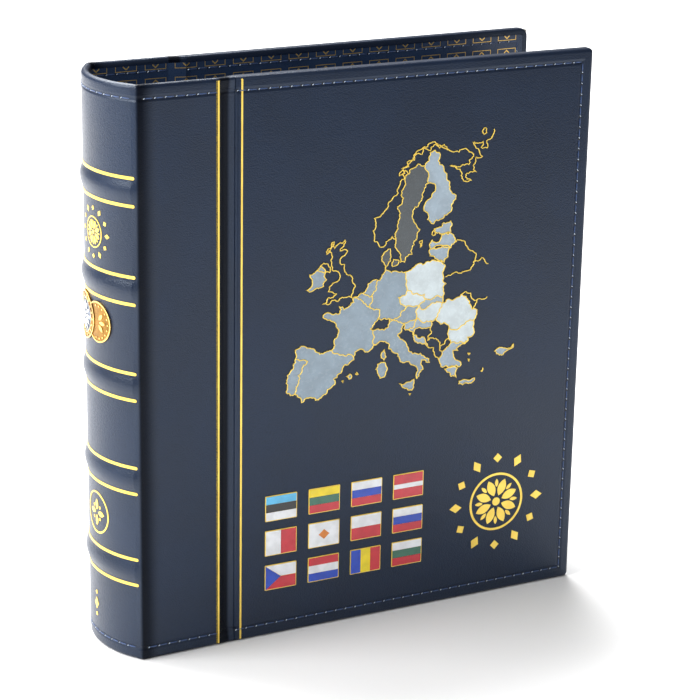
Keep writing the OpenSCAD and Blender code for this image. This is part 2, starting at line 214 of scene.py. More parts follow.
def petal(length: float, width: float, start: float, angle: float) -> list[Point]:
    """Return a pointed petal that starts at a distance from the middle and points along an angle.

    Args:
        length: From the petal's start to its tip.
        width: Across its widest place.
        start: How far from the middle it starts.
        angle: The direction it points in.

    Returns:
        The petal's outline.
    """
    points: list[Point] = []
    for i in range(16):
        t = i / 16 * 2
        along = t if t <= 1 else 2 - t
        side = 1 if t <= 1 else -1
        bulge = width / 2 * math.sin(math.pi * along) ** 0.8 * side if 0 < along < 1 else 0.0
        x, y = start + length * along, bulge
        points.append(
            (x * math.cos(angle) - y * math.sin(angle), x * math.sin(angle) + y * math.cos(angle))
        )
    return points


def box_outline(x0: float, y0: float, x1: float, y1: float, radius: float = 0.0) -> list[Point]:
    """Return a rectangle's outline, with its corners rounded when a radius is given."""
    return rounded([(x0, y0, radius), (x1, y0, radius), (x1, y1, radius), (x0, y1, radius)], 4)


class Bench:
    """The few hand operations that every piece is made with."""

    @staticmethod
    def clear() -> None:
        """Leave edit mode and deselect everything."""
        if bpy.context.object and bpy.context.object.mode != "OBJECT":
            bpy.ops.object.mode_set(mode="OBJECT")
        bpy.ops.object.select_all(action="DESELECT")

    @staticmethod
    def hold(*pieces: bpy.types.Object) -> None:
        """Select some pieces alone and make the first one active."""
        Bench.clear()
        for piece in pieces:
            piece.select_set(True)
        bpy.context.view_layer.objects.active = pieces[0]

    @staticmethod
    def outward(piece: bpy.types.Object) -> None:
        """Point the faces of a closed piece outwards.

        Args:
            piece: The piece, closed all over.
        """
        Bench.hold(piece)
        bpy.ops.object.mode_set(mode="EDIT")
        bpy.ops.mesh.select_all(action="SELECT")
        bpy.ops.mesh.remove_doubles(threshold=1e-4)
        bpy.ops.mesh.normals_make_consistent(inside=False)
        bpy.ops.object.mode_set(mode="OBJECT")

    @staticmethod
    def plate(name: str, outline: Outline, thickness: float, low: float = 0.0) -> bpy.types.Object:
        """Cut a flat plate.

        Args:
            name: The piece's name.
            outline: Its outline in the drawing plane.
            thickness: How thick it is.
            low: Where its lower face lies.

        Returns:
            The closed plate.
        """
        Bench.clear()
        bpy.ops.mesh.primitive_circle_add(vertices=len(outline), radius=1, fill_type="NGON")
        piece = bpy.context.object
        piece.name = name
        for vertex, (x, y) in zip(piece.data.vertices, outline):
            vertex.co = (x, y, low)
        bpy.ops.object.mode_set(mode="EDIT")
        bpy.ops.mesh.select_all(action="SELECT")
        bpy.ops.mesh.extrude_region_move(TRANSFORM_OT_translate={"value": (0, 0, thickness)})
        bpy.ops.object.mode_set(mode="OBJECT")
        Bench.outward(piece)
        return piece

    @staticmethod
    def spun(name: str, profile: Outline, angle: float, steps: int) -> bpy.types.Object:
        """Sweep a closed profile round the spine's axis.

        Args:
            name: The piece's name.
            profile: Distances from the axis, and heights.
            angle: Angle in radians from the middle of the spine to each end.
            steps: Number of steps of the sweep.

        Returns:
            The closed shell sector.
        """
        Bench.clear()
        bpy.ops.mesh.primitive_circle_add(vertices=len(profile), radius=1, fill_type="NGON")
        piece = bpy.context.object
        piece.name = name
        for vertex, (radius, height) in zip(piece.data.vertices, profile):
            vertex.co = (-radius * math.cos(angle), -radius * math.sin(angle), height)
        bpy.ops.object.mode_set(mode="EDIT")
        bpy.ops.mesh.select_all(action="SELECT")
        bpy.ops.mesh.spin(steps=steps, angle=2 * angle, center=(0, 0, 0), axis=(0, 0, 1))
        bpy.ops.object.mode_set(mode="OBJECT")
        if max(v.co.y for v in piece.data.vertices) < 1:
            raise RuntimeError("the sweep turned the wrong way")
        piece.data.transform(Matrix.Translation((CASE.arc_x, 0, 0)))
        Bench.outward(piece)
        return piece

    @staticmethod
    def join(name: str, pieces: Sequence[bpy.types.Object]) -> bpy.types.Object:
        """Join pieces into one.

        Args:
            name: The new piece's name.
            pieces: The pieces, which are used up.

        Returns:
            The joined piece.
        """
        Bench.hold(*pieces)
        if len(pieces) > 1:
            bpy.ops.object.join()
        pieces[0].name = name
        return pieces[0]

    @staticmethod
    def copies(
        name: str, master: bpy.types.Object, places: Iterable[Matrix]
    ) -> bpy.types.Object:
        """Copy a finished piece to several places and join the copies, dropping the master.

        Args:
            name: The new piece's name.
            master: The piece that is copied.
            places: Where each copy goes.

        Returns:
            The joined copies.
        """
        made = []
        for place in places:
            copy = bpy.data.objects.new(name, master.data.copy())
            copy.data.transform(place)
            bpy.context.collection.objects.link(copy)
            made.append(copy)
        bpy.data.objects.remove(master)
        return Bench.join(name, made)

    @staticmethod
    def place(piece: bpy.types.Object, matrix: Matrix, mirrored: bool = False) -> None:
        """Bring a piece made in album millimetres to its place in the model's frame.

        Args:
            piece: The piece.
            matrix: Where it stands in the album.
            mirrored: Whether it belongs to the back half, made as the front one.
        """
        whole = CASE.home() @ (MIRROR if mirrored else Matrix.Identity(4)) @ matrix
        piece.data.transform(whole)
        if whole.determinant() < 0:
            piece.data.flip_normals()
        piece.data.update()

    @staticmethod
    def wrap(piece: bpy.types.Object, step: float = 2.0) -> None:
        """Lay a flat drawing (right, up, out) on the rounded spine, and bring it home.

        Args:
            piece: The flat piece.
            step: Distance between the cuts that let it follow the curve.
        """
        xs = [v.co.x for v in piece.data.vertices]
        Bench.hold(piece)
        bpy.ops.object.mode_set(mode="EDIT")
        cut = math.ceil(min(xs) / step) * step
        while cut < max(xs) - 0.01:
            bpy.ops.mesh.select_all(action="SELECT")
            bpy.ops.mesh.bisect(plane_co=(cut, 0, 0), plane_no=(1, 0, 0))
            cut += step
        bpy.ops.object.mode_set(mode="OBJECT")
        for vertex in piece.data.vertices:
            across, up, out = vertex.co
            turn = across / CASE.arc_r
            reach = CASE.arc_r + out
            vertex.co = (CASE.arc_x - reach * math.cos(turn), -reach * math.sin(turn), up)
        Bench.place(piece, Matrix.Identity(4))

    @staticmethod
    def bevel_where(
        piece: bpy.types.Object, test: Callable[[Vector, Vector], bool], width: float, segments: int
    ) -> None:
        """Round the edges of a piece that pass a test of their two ends.

        Args:
            piece: The piece.
            test: Tells from its two ends whether an edge is rounded.
            width: The rounding's width.
            segments: How many faces make it.
        """
        Bench.hold(piece)
        bpy.ops.object.mode_set(mode="EDIT")
        bpy.ops.mesh.select_mode(type="EDGE")
        bpy.ops.mesh.select_all(action="DESELECT")
        bpy.ops.object.mode_set(mode="OBJECT")
        points = piece.data.vertices
        for edge in piece.data.edges:
            edge.select = test(points[edge.vertices[0]].co, points[edge.vertices[1]].co)
        bpy.ops.object.mode_set(mode="EDIT")
        bpy.ops.mesh.bevel(offset=width, segments=segments, affect="EDGES")
        bpy.ops.object.mode_set(mode="OBJECT")

    @staticmethod
    def soften(piece: bpy.types.Object, angle: float = 35.0) -> None:
        """Shade a piece smooth across its shallow edges."""
        Bench.hold(piece)
        bpy.ops.object.shade_smooth_by_angle(angle=math.radians(angle))

    @staticmethod
    def finish(
        piece: bpy.types.Object,
        material: bpy.types.Material,
        body: str | tuple[str, str, Point, Point],
        slot: str,
        nodes: Sequence[str] = (),
        angle: float = 35.0,
    ) -> None:
        """Dress a piece, fix it to its body and report it.

        Args:
            piece: The piece, in its place.
            material: Its finish.
            body: The body it moves with; given two bodies and two places instead, it is only baked in place
                and fixed to no body.
            slot: The record's material slot; not used.
            nodes: CAD nodes that it stands for.
            angle: Edges shallower than this are shaded smooth.
        """
        piece.data.materials.clear()
        piece.data.materials.append(material)
        Bench.soften(piece, angle)
        if isinstance(body, str):
            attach(piece, body)
        else:
            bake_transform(piece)
        if nodes:
            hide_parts(*nodes)
        log.info("%s: %d faces", piece.name, len(piece.data.polygons))


class Recipe:
    """A material being mixed: its node tree and its surface shader."""

    def __init__(self, name: str) -> None:
        """Start a material with a bare surface shader.

        Args:
            name: The material's name.
        """
        self.material = bpy.data.materials.new(name)
        self.material.use_nodes = True
        self.tree = self.material.node_tree
        self.shader = self.tree.nodes["Principled BSDF"]
        self.place = self.tree.nodes.new("ShaderNodeTexCoord").outputs["Object"]

    def set(self, **values: float | tuple[float, ...]) -> None:
        """Set sockets of the surface shader, named with underscores."""
        for key, value in values.items():
            self.shader.inputs[key.replace("_", " ")].default_value = value

    def node(self, kind: str, links: dict[str | int, object], **settings: object) -> bpy.types.Node:
        """Add a node.

        Args:
            kind: The node's type.
            links: For each input, a socket to link or a value to set.
            settings: Properties of the node.

        Returns:
            The new node.
        """
        made = self.tree.nodes.new(kind)
        for key, value in settings.items():
            setattr(made, key, value)
        for key, value in links.items():
            if isinstance(value, bpy.types.NodeSocket):
                self.tree.links.new(value, made.inputs[key])
            else:
                made.inputs[key].default_value = value
        return made

    def math(self, kind: str, *values: object) -> bpy.types.NodeSocket:
        """Add a sum and return its result."""
        return self.node("ShaderNodeMath", dict(enumerate(values)), operation=kind).outputs[0]

    def noise(self, size: float, detail: float = 2.0, stretch: Sequence[float] = (1, 1, 1)) -> object:
        """Return a noise whose spots are about a size in millimetres."""
        spread = self.node(
            "ShaderNodeMapping", {"Vector": self.place, "Scale": tuple(stretch)}
        ).outputs[0]
        return self.node(
            "ShaderNodeTexNoise", {"Vector": spread, "Scale": 1 / (size * MM), "Detail": detail}
        ).outputs["Fac"]

    def cells(self, size: float, feature: str = "F1") -> object:
        """Return the distance pattern of cells about a size in millimetres."""
        return self.node(
            "ShaderNodeTexVoronoi", {"Vector": self.place, "Scale": 1 / (size * MM)}, feature=feature
        ).outputs["Distance"]

    def ramp(self, source: object, low: float, high: float, to_low: float, to_high: float) -> object:
        """Return a value brought smoothly from one range to another."""
        return self.node(
            "ShaderNodeMapRange",
            {"Value": source, "From Min": low, "From Max": high, "To Min": to_low, "To Max": to_high},
            interpolation_type="SMOOTHSTEP",
        ).outputs[0]

    def blend(self, factor: object, first: object, second: object) -> object:
        """Return a colour between two others.

        Args:
            factor: How much of the second colour shows.
            first: A colour, or the socket of one.
            second: The other colour.

        Returns:
            The mixed colour's socket.
        """
        made = self.node("ShaderNodeMix", {"Factor": factor}, data_type="RGBA")
        for socket, value in ((made.inputs[6], first), (made.inputs[7], second)):
            if isinstance(value, bpy.types.NodeSocket):
                self.tree.links.new(value, socket)
            else:
                socket.default_value = value
        return made.outputs[2]

    def feed(self, source: object, socket: str) -> None:
        """Link a result to a socket of the surface shader."""
        self.tree.links.new(source, self.shader.inputs[socket])

    def relief(self, layers: Sequence[tuple[object, float]]) -> None:
        """Stack relief layers, each a height and its depth in millimetres, on the surface.

        Args:
            layers: For each layer, its height and its depth in millimetres.
        """
        normal: object = None
        for height, depth in layers:
            links: dict[str | int, object] = {"Height": height, "Distance": depth * MM, "Strength": 1.0}
            if normal is not None:
                links["Normal"] = normal
            normal = self.node("ShaderNodeBump", links).outputs[0]
        self.feed(normal, "Normal")


def rgba(red: float, green: float, blue: float) -> tuple[float, float, float, float]:
    """Return a shader colour from display values between 0 and 255."""
    def linear(value: float) -> float:
        """Return one channel as light."""
        part = value / 255
        return part / 12.92 if part <= 0.04045 else ((part + 0.055) / 1.055) ** 2.4
    return (linear(red), linear(green), linear(blue), 1.0)


@dataclass(frozen=True)
class Leatherette:
    """Coated leatherette with a fine pebble grain, pressed down along its stitching, with painted shade at
    the spine corner and in the hinge valley.
    """

    name: str = "leatherette_navy"
    colour: tuple[float, float, float] = (12, 29, 54)
    deep: tuple[float, float, float] = (10, 25, 48)
    # colour of the painted shade in the crease by the spine corner and in the hinge valley
    shade: tuple[float, float, float] = (4, 8, 20)
    grain: float = 0.62
    depth: float = 0.07

    def mix(self) -> bpy.types.Material:
        """Return the material.

        Returns:
            The mixed material.
        """
        recipe = Recipe(self.name)
        cells = recipe.cells(self.grain, "SMOOTH_F1")
        pores = recipe.noise(0.28, 3)
        cloud = recipe.noise(38, 3)
        swell = recipe.noise(26, 2)
        colour = recipe.blend(
            recipe.ramp(cloud, 0.35, 0.65, 0, 1), rgba(*self.deep), rgba(*self.colour)
        )
        creases = recipe.ramp(cells, 0.45, 0.75, 0, 0.35)
        grained = recipe.blend(creases, colour, rgba(8, 16, 34))
        polish = recipe.ramp(cloud, 0.3, 0.7, 0.31, 0.36)
        recipe.feed(recipe.math("ADD", polish, recipe.ramp(cells, 0.3, 0.8, 0, 0.1)), "Roughness")
        split = recipe.node("ShaderNodeSeparateXYZ", {0: recipe.place})
        height = split.outputs["Z"]
        middle = CASE.height / 2 * MM
        tall = recipe.math("ABSOLUTE", recipe.math("SUBTRACT", height, middle))
        past_row = recipe.math("SUBTRACT", tall, middle - CASE.stitch * MM)
        fore = (CASE.width - CASE.stitch - CASE.shift) * MM
        past_fore = recipe.math("SUBTRACT", split.outputs["X"], fore)
        nearest = recipe.math("ABSOLUTE", recipe.math("MAXIMUM", past_row, past_fore))
        start = -CASE.shift * MM
        across = split.outputs["X"]
        fold = recipe.ramp(across, start + 0.0006, start + 0.0105, 1, 0)
        crease = recipe.math("MULTIPLY", fold, recipe.ramp(across, start - 0.0012, start + 0.0006, 0, 1))
        valley = recipe.math(
            "MULTIPLY",
            recipe.ramp(across, start + 0.0396, start + 0.0412, 0, 1),
            recipe.ramp(across, start + 0.0448, start + 0.0468, 1, 0),
        )
        # painted shade: in the crease by the spine corner and on the near slope of the hinge valley, the
        # colour goes to the dark shade colour and the reflection is turned down
        painted_shade_mask = recipe.math("MAXIMUM", crease, valley)
        recipe.feed(recipe.blend(painted_shade_mask, grained, rgba(*self.shade)), "Base Color")
        recipe.feed(recipe.ramp(painted_shade_mask, 0, 1, 0.42, 0.1), "Specular IOR Level")
        groove = recipe.ramp(nearest, 0.0002, 0.0017, 0, 1)
        recipe.relief([
            (swell, 0.12),
            (fold, 0.9),
            (groove, 0.4),
            (recipe.ramp(cells, 0.0, 0.7, 1, 0), self.depth),
            (pores, 0.018),
        ])
        recipe.set(IOR=1.5, Specular_Tint=(0.78, 0.88, 1.0, 1.0), Coat_Weight=0.06, Coat_Roughness=0.25)
        return recipe.material


@dataclass(frozen=True)
class LiningCloth:
    """Dark lining printed with rows of thin gold frames, each with a chevron at its head and foot."""

    name: str = "lining_printed"
    colour: tuple[float, float, float] = (40, 62, 94)
    dark: tuple[float, float, float] = (32, 52, 82)
    gold: tuple[float, float, float] = (236, 196, 110)
    pitch: tuple[float, float] = (15.0, 15.5)
    frame_w: float = 10.6
    frame_h: float = 11.1

    def mix(self) -> bpy.types.Material:
        """Return the material.

        Returns:
            The mixed material.
        """
        recipe = Recipe(self.name)
        split = recipe.node("ShaderNodeSeparateXYZ", {0: recipe.place})
        grain = recipe.noise(0.4, 3)
        cloud = recipe.noise(20, 2)

        def cell(axis: str, start: float, pitch: float) -> object:
            """Return how far a place is from the middle of its printed cell.

            Args:
                axis: The axis that the cells follow.
                start: Where the first cell starts, in millimetres.
                pitch: The cell's length, in millimetres.

            Returns:
                The distance, in metres.
            """
            shifted = recipe.math("SUBTRACT", split.outputs[axis], start * MM)
            wrapped = recipe.math("FLOORED_MODULO", shifted, pitch * MM)
            return recipe.math("ABSOLUTE", recipe.math("SUBTRACT", wrapped, pitch / 2 * MM))

        across = cell("X", 1.0, self.pitch[0])
        up = cell("Z", 8.9, self.pitch[1])
        wide = recipe.math("SUBTRACT", across, self.frame_w / 2 * MM)
        tall = recipe.math("SUBTRACT", up, self.frame_h / 2 * MM)
        edge = recipe.math("ABSOLUTE", recipe.math("MAXIMUM", wide, tall))
        frame = recipe.ramp(edge, 0.0001, 0.00022, 1, 0)
        slope = recipe.math("ADD", up, recipe.math("MULTIPLY", across, 0.9))
        arm = recipe.math("ABSOLUTE", recipe.math("SUBTRACT", slope, 0.0047))
        reach = recipe.ramp(across, 0.0015, 0.0017, 1, 0)
        mark = recipe.math("MULTIPLY", recipe.ramp(arm, 0.0003, 0.00045, 1, 0), reach)
        print_here = recipe.math("MAXIMUM", frame, mark)
        cloth = recipe.blend(recipe.ramp(cloud, 0.3, 0.7, 0, 1), rgba(*self.dark), rgba(*self.colour))
        recipe.feed(recipe.blend(print_here, cloth, rgba(*self.gold)), "Base Color")
        recipe.feed(recipe.math("MULTIPLY", print_here, 0.8), "Metallic")
        recipe.feed(recipe.ramp(grain, 0.3, 0.7, 0.26, 0.4), "Roughness")
        recipe.relief([(recipe.noise(12, 2), 0.25), (grain, 0.03)])
        return recipe.material


@dataclass(frozen=True)
class Foil:
    """Stamped gold foil, a little worn where it is pressed into the grain."""

    name: str
    colour: tuple[float, float, float] = (255, 222, 102)
    worn: tuple[float, float, float] = (216, 176, 70)
    wear: float = 0.0
    rough: float = 0.34

    def mix(self) -> bpy.types.Material:
        """Return the material.

        Returns:
            The mixed material.
        """
        recipe = Recipe(self.name)
        fleck = recipe.noise(0.5, 4)
        cloud = recipe.noise(9, 2)
        tone = recipe.blend(recipe.ramp(cloud, 0.3, 0.7, 0, 0.35), rgba(*self.colour), rgba(*self.worn))
        gone = recipe.ramp(fleck, 0.62 - 0.16 * self.wear, 0.7 - 0.12 * self.wear, 0, self.wear)
        recipe.feed(recipe.blend(gone, tone, rgba(16, 20, 24)), "Base Color")
        recipe.feed(recipe.ramp(gone, 0, 1, 0.45, 0.1), "Metallic")
        recipe.feed(recipe.ramp(fleck, 0.3, 0.7, self.rough - 0.06, self.rough + 0.08), "Roughness")
        recipe.relief([(recipe.cells(0.8, "SMOOTH_F1"), 0.02), (fleck, 0.01)])
        return recipe.material


@dataclass(frozen=True)
class Thread:
    """Twisted polyester sewing thread."""

    name: str = "sewing_thread_blue"
    colour: tuple[float, float, float] = (48, 84, 140)

    def mix(self) -> bpy.types.Material:
        """Return the material.

        Returns:
            The mixed material.
        """
        recipe = Recipe(self.name)
        strand = recipe.noise(0.25, 2, (1.0, 1.0, 1.0))
        recipe.feed(
            recipe.blend(recipe.ramp(strand, 0.3, 0.7, 0, 1), rgba(26, 48, 88), rgba(*self.colour)),
            "Base Color",
        )
        recipe.feed(recipe.ramp(strand, 0.3, 0.7, 0.45, 0.65), "Roughness")
        recipe.relief([(strand, 0.08)])
        recipe.set(Sheen_Weight=0.3)
        return recipe.material


@dataclass(frozen=True)
class Enamel:
    """Hard glossy enamel in one colour, faintly uneven."""

    name: str
    colour: tuple[float, float, float]
    rough: float = 0.16

    def mix(self) -> bpy.types.Material:
        """Return the material.

        Returns:
            The mixed material.
        """
        recipe = Recipe(self.name)
        pool = recipe.noise(5, 2)
        dark = tuple(0.93 * c for c in self.colour)
        recipe.feed(
            recipe.blend(recipe.ramp(pool, 0.3, 0.7, 0, 1), rgba(*dark), rgba(*self.colour)),
            "Base Color",
        )
        recipe.feed(recipe.ramp(recipe.noise(2, 3), 0.3, 0.7, self.rough, self.rough + 0.1), "Roughness")
        recipe.relief([(pool, 0.04), (recipe.noise(0.7, 2), 0.008)])
        recipe.set(Coat_Weight=0.4, Coat_Roughness=0.08)
        return recipe.material


@dataclass(frozen=True)
class Metal:
    """Struck or plated metal with fine handling marks."""

    name: str
    colour: tuple[float, float, float]
    rough: float = 0.25
    mark: float = 0.02

    def mix(self) -> bpy.types.Material:
        """Return the material.

        Returns:
            The mixed material.
        """
        recipe = Recipe(self.name)
        haze = recipe.noise(4, 4)
        scratch = recipe.noise(0.35, 3, (1.0, 6.0, 1.0))
        dull = tuple(0.82 * c for c in self.colour)
        recipe.feed(
            recipe.blend(recipe.ramp(haze, 0.3, 0.7, 0, 1), rgba(*dull), rgba(*self.colour)),
            "Base Color",
        )
        recipe.feed(recipe.ramp(scratch, 0.3, 0.7, self.rough - 0.05, self.rough + 0.1), "Roughness")
        recipe.relief([(scratch, self.mark)])
        recipe.set(Metallic=1.0)
        return recipe.material


@dataclass(frozen=True)
class Plain:
    """A plain matt or satin stuff with a speckle and a small relief."""

    name: str
    colour: tuple[float, float, float]
    fleck: tuple[float, float, float]
    size: float = 0.6
    rough: float = 0.7
    depth: float = 0.05

    def mix(self) -> bpy.types.Material:
        """Return the material.

        Returns:
            The mixed material.
        """
        recipe = Recipe(self.name)
        spot = recipe.noise(self.size, 4)
        recipe.feed(
            recipe.blend(recipe.ramp(spot, 0.35, 0.65, 0, 1), rgba(*self.fleck), rgba(*self.colour)),
            "Base Color",
        )
        recipe.feed(recipe.ramp(spot, 0.3, 0.7, self.rough - 0.05, self.rough + 0.08), "Roughness")
        recipe.relief([(spot, self.depth)])
        return recipe.material


@dataclass
class Finishes:
    """Every material of the album, mixed once."""

    leather: bpy.types.Material = field(default_factory=lambda: Leatherette().mix())
    lining: bpy.types.Material = field(default_factory=lambda: LiningCloth().mix())
    foil: bpy.types.Material = field(default_factory=lambda: Foil("gold_foil").mix())
    # left half of the strip's wide line: a darker olive copy of the foil, painted shade where the line dips
    # into its stamped groove, with black flecks of wear
    worn_foil: bpy.types.Material = field(
        default_factory=lambda: Foil("gold_foil_worn_and_shaded", (150, 128, 38), (84, 70, 18), 0.9).mix()
    )
    thread: bpy.types.Material = field(default_factory=lambda: Thread().mix())
    # painted highlights: near-white specks laid at the needle holes, where the thread catches the light
    loop: bpy.types.Material = field(
        default_factory=lambda: Plain("pale_thread", (214, 224, 236), (150, 170, 200), 0.2, 0.3, 0.03).mix()
    )
    # painted shade: near-black discs stand in for the depth of the needle holes
    hole: bpy.types.Material = field(
        default_factory=lambda: Plain("needle_hole", (6, 9, 16), (3, 5, 9), 0.3, 0.5, 0.02).mix()
    )
    board: bpy.types.Material = field(
        default_factory=lambda: Plain("grey_board", (150, 148, 140), (122, 120, 114), 0.8, 0.85).mix()
    )
    foam: bpy.types.Material = field(
        default_factory=lambda: Plain("white_foam", (232, 232, 226), (205, 205, 198), 0.5, 0.9).mix()
    )
    film: bpy.types.Material = field(
        default_factory=lambda: Plain("leaf_film", (26, 38, 62), (22, 33, 54), 1.5, 0.35, 0.02).mix()
    )
    steel: bpy.types.Material = field(
        default_factory=lambda: Metal("nickel_plate", (205, 206, 208), 0.2, 0.01).mix()
    )
    coin_gold: bpy.types.Material = field(
        default_factory=lambda: Metal("coin_gold", (244, 204, 120), 0.22).mix()
    )
    # painted shade: darker, rougher copies of the coin metals for the fields between the raised rims, beads
    # and rays
    coin_gold_painted_shade: bpy.types.Material = field(
        default_factory=lambda: Metal("coin_gold_painted_shade", (158, 116, 52), 0.34).mix()
    )
    coin_silver: bpy.types.Material = field(
        default_factory=lambda: Metal("coin_silver", (226, 230, 236), 0.2).mix()
    )
    coin_silver_painted_shade: bpy.types.Material = field(
        default_factory=lambda: Metal("coin_silver_painted_shade", (118, 126, 140), 0.34).mix()
    )


BAND_HEIGHTS = [45.2 + 46.4 * i for i in range(5)]
BAND_RISE = 1.4
BAND_HALF = 6.0
BAND_ROUND = 1.3


def band_swell(height: float) -> float:
    """Return how far the spine leather is pushed out by a raised band.

    Args:
        height: The place's height above the foot.

    Returns:
        How far the leather stands out, in millimetres.
    """
    off = min(abs(height - middle) for middle in BAND_HEIGHTS) / BAND_HALF
    return BAND_RISE * math.cos(off * math.pi / 2) ** BAND_ROUND if off < 1 else 0.0


@dataclass
class Spine:
    """The rounded spine: leather skin over the bands, gold lines and its thread."""

    finishes: Finishes
    line_w: float = 1.5
    line_off: float = 6.5

    def build(self) -> None:
        """Build every piece that rides on the spine."""
        self.skin()
        self.cores()
        self.gold_lines()

    def heights(self) -> list[float]:
        """Return the heights of the skin's profile points, close together at the bands.

        Returns:
            The heights, from the foot up.
        """
        points = {3.0, CASE.height - 3.0, CASE.stitch, CASE.height - CASE.stitch}
        for middle in BAND_HEIGHTS:
            points.update(middle + k * 0.6 for k in range(-11, 12))
        return sorted(points)

    def skin(self) -> None:
        """Build the leather skin, turned in over the board at its head and foot."""
        r, top, t = CASE.arc_r, CASE.height, CASE.strip_t
        outer = [(r + band_swell(z), z) for z in self.heights()]
        inner = [(r - CASE.leather + band_swell(z), z) for z in reversed(self.heights())]
        head = rounded([(r, top - 3, 0), (r, top, 1.85), (r - t, top, 1.85), (r - t, top - 3, 0)])[1:]
        under = [(r - CASE.board_in, top - 3), (r - CASE.board_in, top - 1), (r - CASE.leather, top - 1)]
        foot = [(a, top - z) for a, z in reversed(head)]
        below = [(a, top - z) for a, z in reversed(under)]
        profile = outer + head + under + inner[1:-1] + below + foot[:-1]
        skin = Bench.spun("spine_skin", profile, CASE.edge_angle, 44)
        Bench.place(skin, Matrix.Identity(4))
        Bench.finish(skin, self.finishes.leather, "spine", "leatherette", ["spine_leather"], 50)

    def cores(self) -> None:
        """Build the cord cores that push the bands out."""
        base = CASE.arc_r - CASE.leather
        parts = []
        for middle in BAND_HEIGHTS:
            heights = [middle + k * 0.6 for k in range(-9, 10)]
            profile = [(base + max(band_swell(z) - 0.05, 0.02), z) for z in heights]
            profile += [(base, heights[-1]), (base, heights[0])]
            parts.append(Bench.spun("core", profile, CASE.edge_angle - 0.06, 30))
        cores = Bench.join("spine_band_cores", parts)
        Bench.place(cores, Matrix.Identity(4))
        Bench.finish(cores, self.finishes.board, "spine", "board", ["spine_bands"])

    def gold_lines(self) -> None:
        """Build the pairs of gold lines, with rounded ends."""
        reach = CASE.edge_angle * CASE.arc_r + 1.5
        lines = []
        for middle in BAND_HEIGHTS:
            for side in (-1, 1):
                z = middle + side * self.line_off
                half = self.line_w / 2
                outline = box_outline(-reach, z - half, reach, z + half, half * 0.98)
                lines.append(Bench.plate("line", outline, 0.28, -0.1))
        joined = Bench.join("spine_lines", lines)
        Bench.wrap(joined)
        Bench.finish(joined, self.finishes.foil, "spine", "gold_foil", ["spine_gold_lines"])


@dataclass
class Rosette:
    """A round gold emblem: a petalled rosette in a thin ring, inside a ring of lozenges."""

    finishes: Finishes
    radius: float = 25.0
    petals: int = 8
    lozenges: int = 12
    round_arc: float = 3.0

    def parts(self, thickness: float, low: float) -> list[bpy.types.Object]:
        """Cut the emblem's plates about the drawing's origin.

        Args:
            thickness: How thick the plates are.
            low: Where their lower face lies.

        Returns:
            The plates.
        """
        unit = self.radius / 25
        made = [Bench.plate("heart", disc(2.2 * unit, count=20), thickness, low)]
        for i in range(self.petals):
            angle = 2 * math.pi * i / self.petals + math.pi / 8
            made.append(Bench.plate("petal", self.scaled(petal(9.2, 4.6, 3.4, angle), unit), thickness, low))
        for i in range(self.petals):
            angle = 2 * math.pi * i / self.petals
            made.append(Bench.plate("leaf", self.scaled(petal(4.4, 1.9, 8.0, angle), unit), thickness, low))
        made.append(self.ring(15.6 * unit, 14.4 * unit, thickness, low))
        for i in range(self.lozenges):
            angle = 2 * math.pi * i / self.lozenges
            long, short = (3.5, 2.4) if i % 2 == 0 else (2.5, 2.5)
            corners = [(23.8 + long, 0), (23.8, short), (23.8 - long, 0), (23.8, -short)]
            turned = [
                (x * math.cos(angle) - y * math.sin(angle), x * math.sin(angle) + y * math.cos(angle))
                for x, y in corners
            ]
            made.append(Bench.plate("lozenge", self.scaled(turned, unit), thickness, low))
        return made

    @staticmethod
    def scaled(outline: Outline, unit: float) -> list[Point]:
        """Return an outline at another size."""
        return [(x * unit, y * unit) for x, y in outline]

    @staticmethod
    def ring(outer: float, inner: float, thickness: float, low: float) -> bpy.types.Object:
        """Cut a thin flat ring out of two half rings.

        Args:
            outer: The outer radius.
            inner: The inner radius.
            thickness: How thick the ring is.
            low: Where its lower face lies.

        Returns:
            The ring.
        """
        halves = []
        for side in (0, math.pi):
            out = [
                (outer * math.cos(side + math.pi * i / 32), outer * math.sin(side + math.pi * i / 32))
                for i in range(33)
            ]
            back = [
                (inner * math.cos(side + math.pi * i / 32), inner * math.sin(side + math.pi * i / 32))
                for i in range(32, -1, -1)
            ]
            halves.append(Bench.plate("half", out + back, thickness, low))
        return Bench.join("ring", halves)

    def on_front(self) -> None:
        """Stamp the emblem on the front cover."""
        emblem = Bench.join("front_rosette", self.parts(0.22, -0.06))
        Bench.place(emblem, CASE.on_cover() @ Matrix.Translation((195, 49.6, 0)))
        Bench.finish(emblem, self.finishes.foil, "front_cover", "gold_foil", ["front_emblem"])

    def on_spine(self) -> None:
        """Stamp the emblem on the spine."""
        emblem = Bench.join("spine_rosette", self.parts(0.26, -0.08))
        emblem.data.transform(Matrix.Translation((self.round_arc, 207.6, 0)))
        Bench.wrap(emblem)
        Bench.finish(emblem, self.finishes.foil, "spine", "gold_foil", ["spine_emblem"])


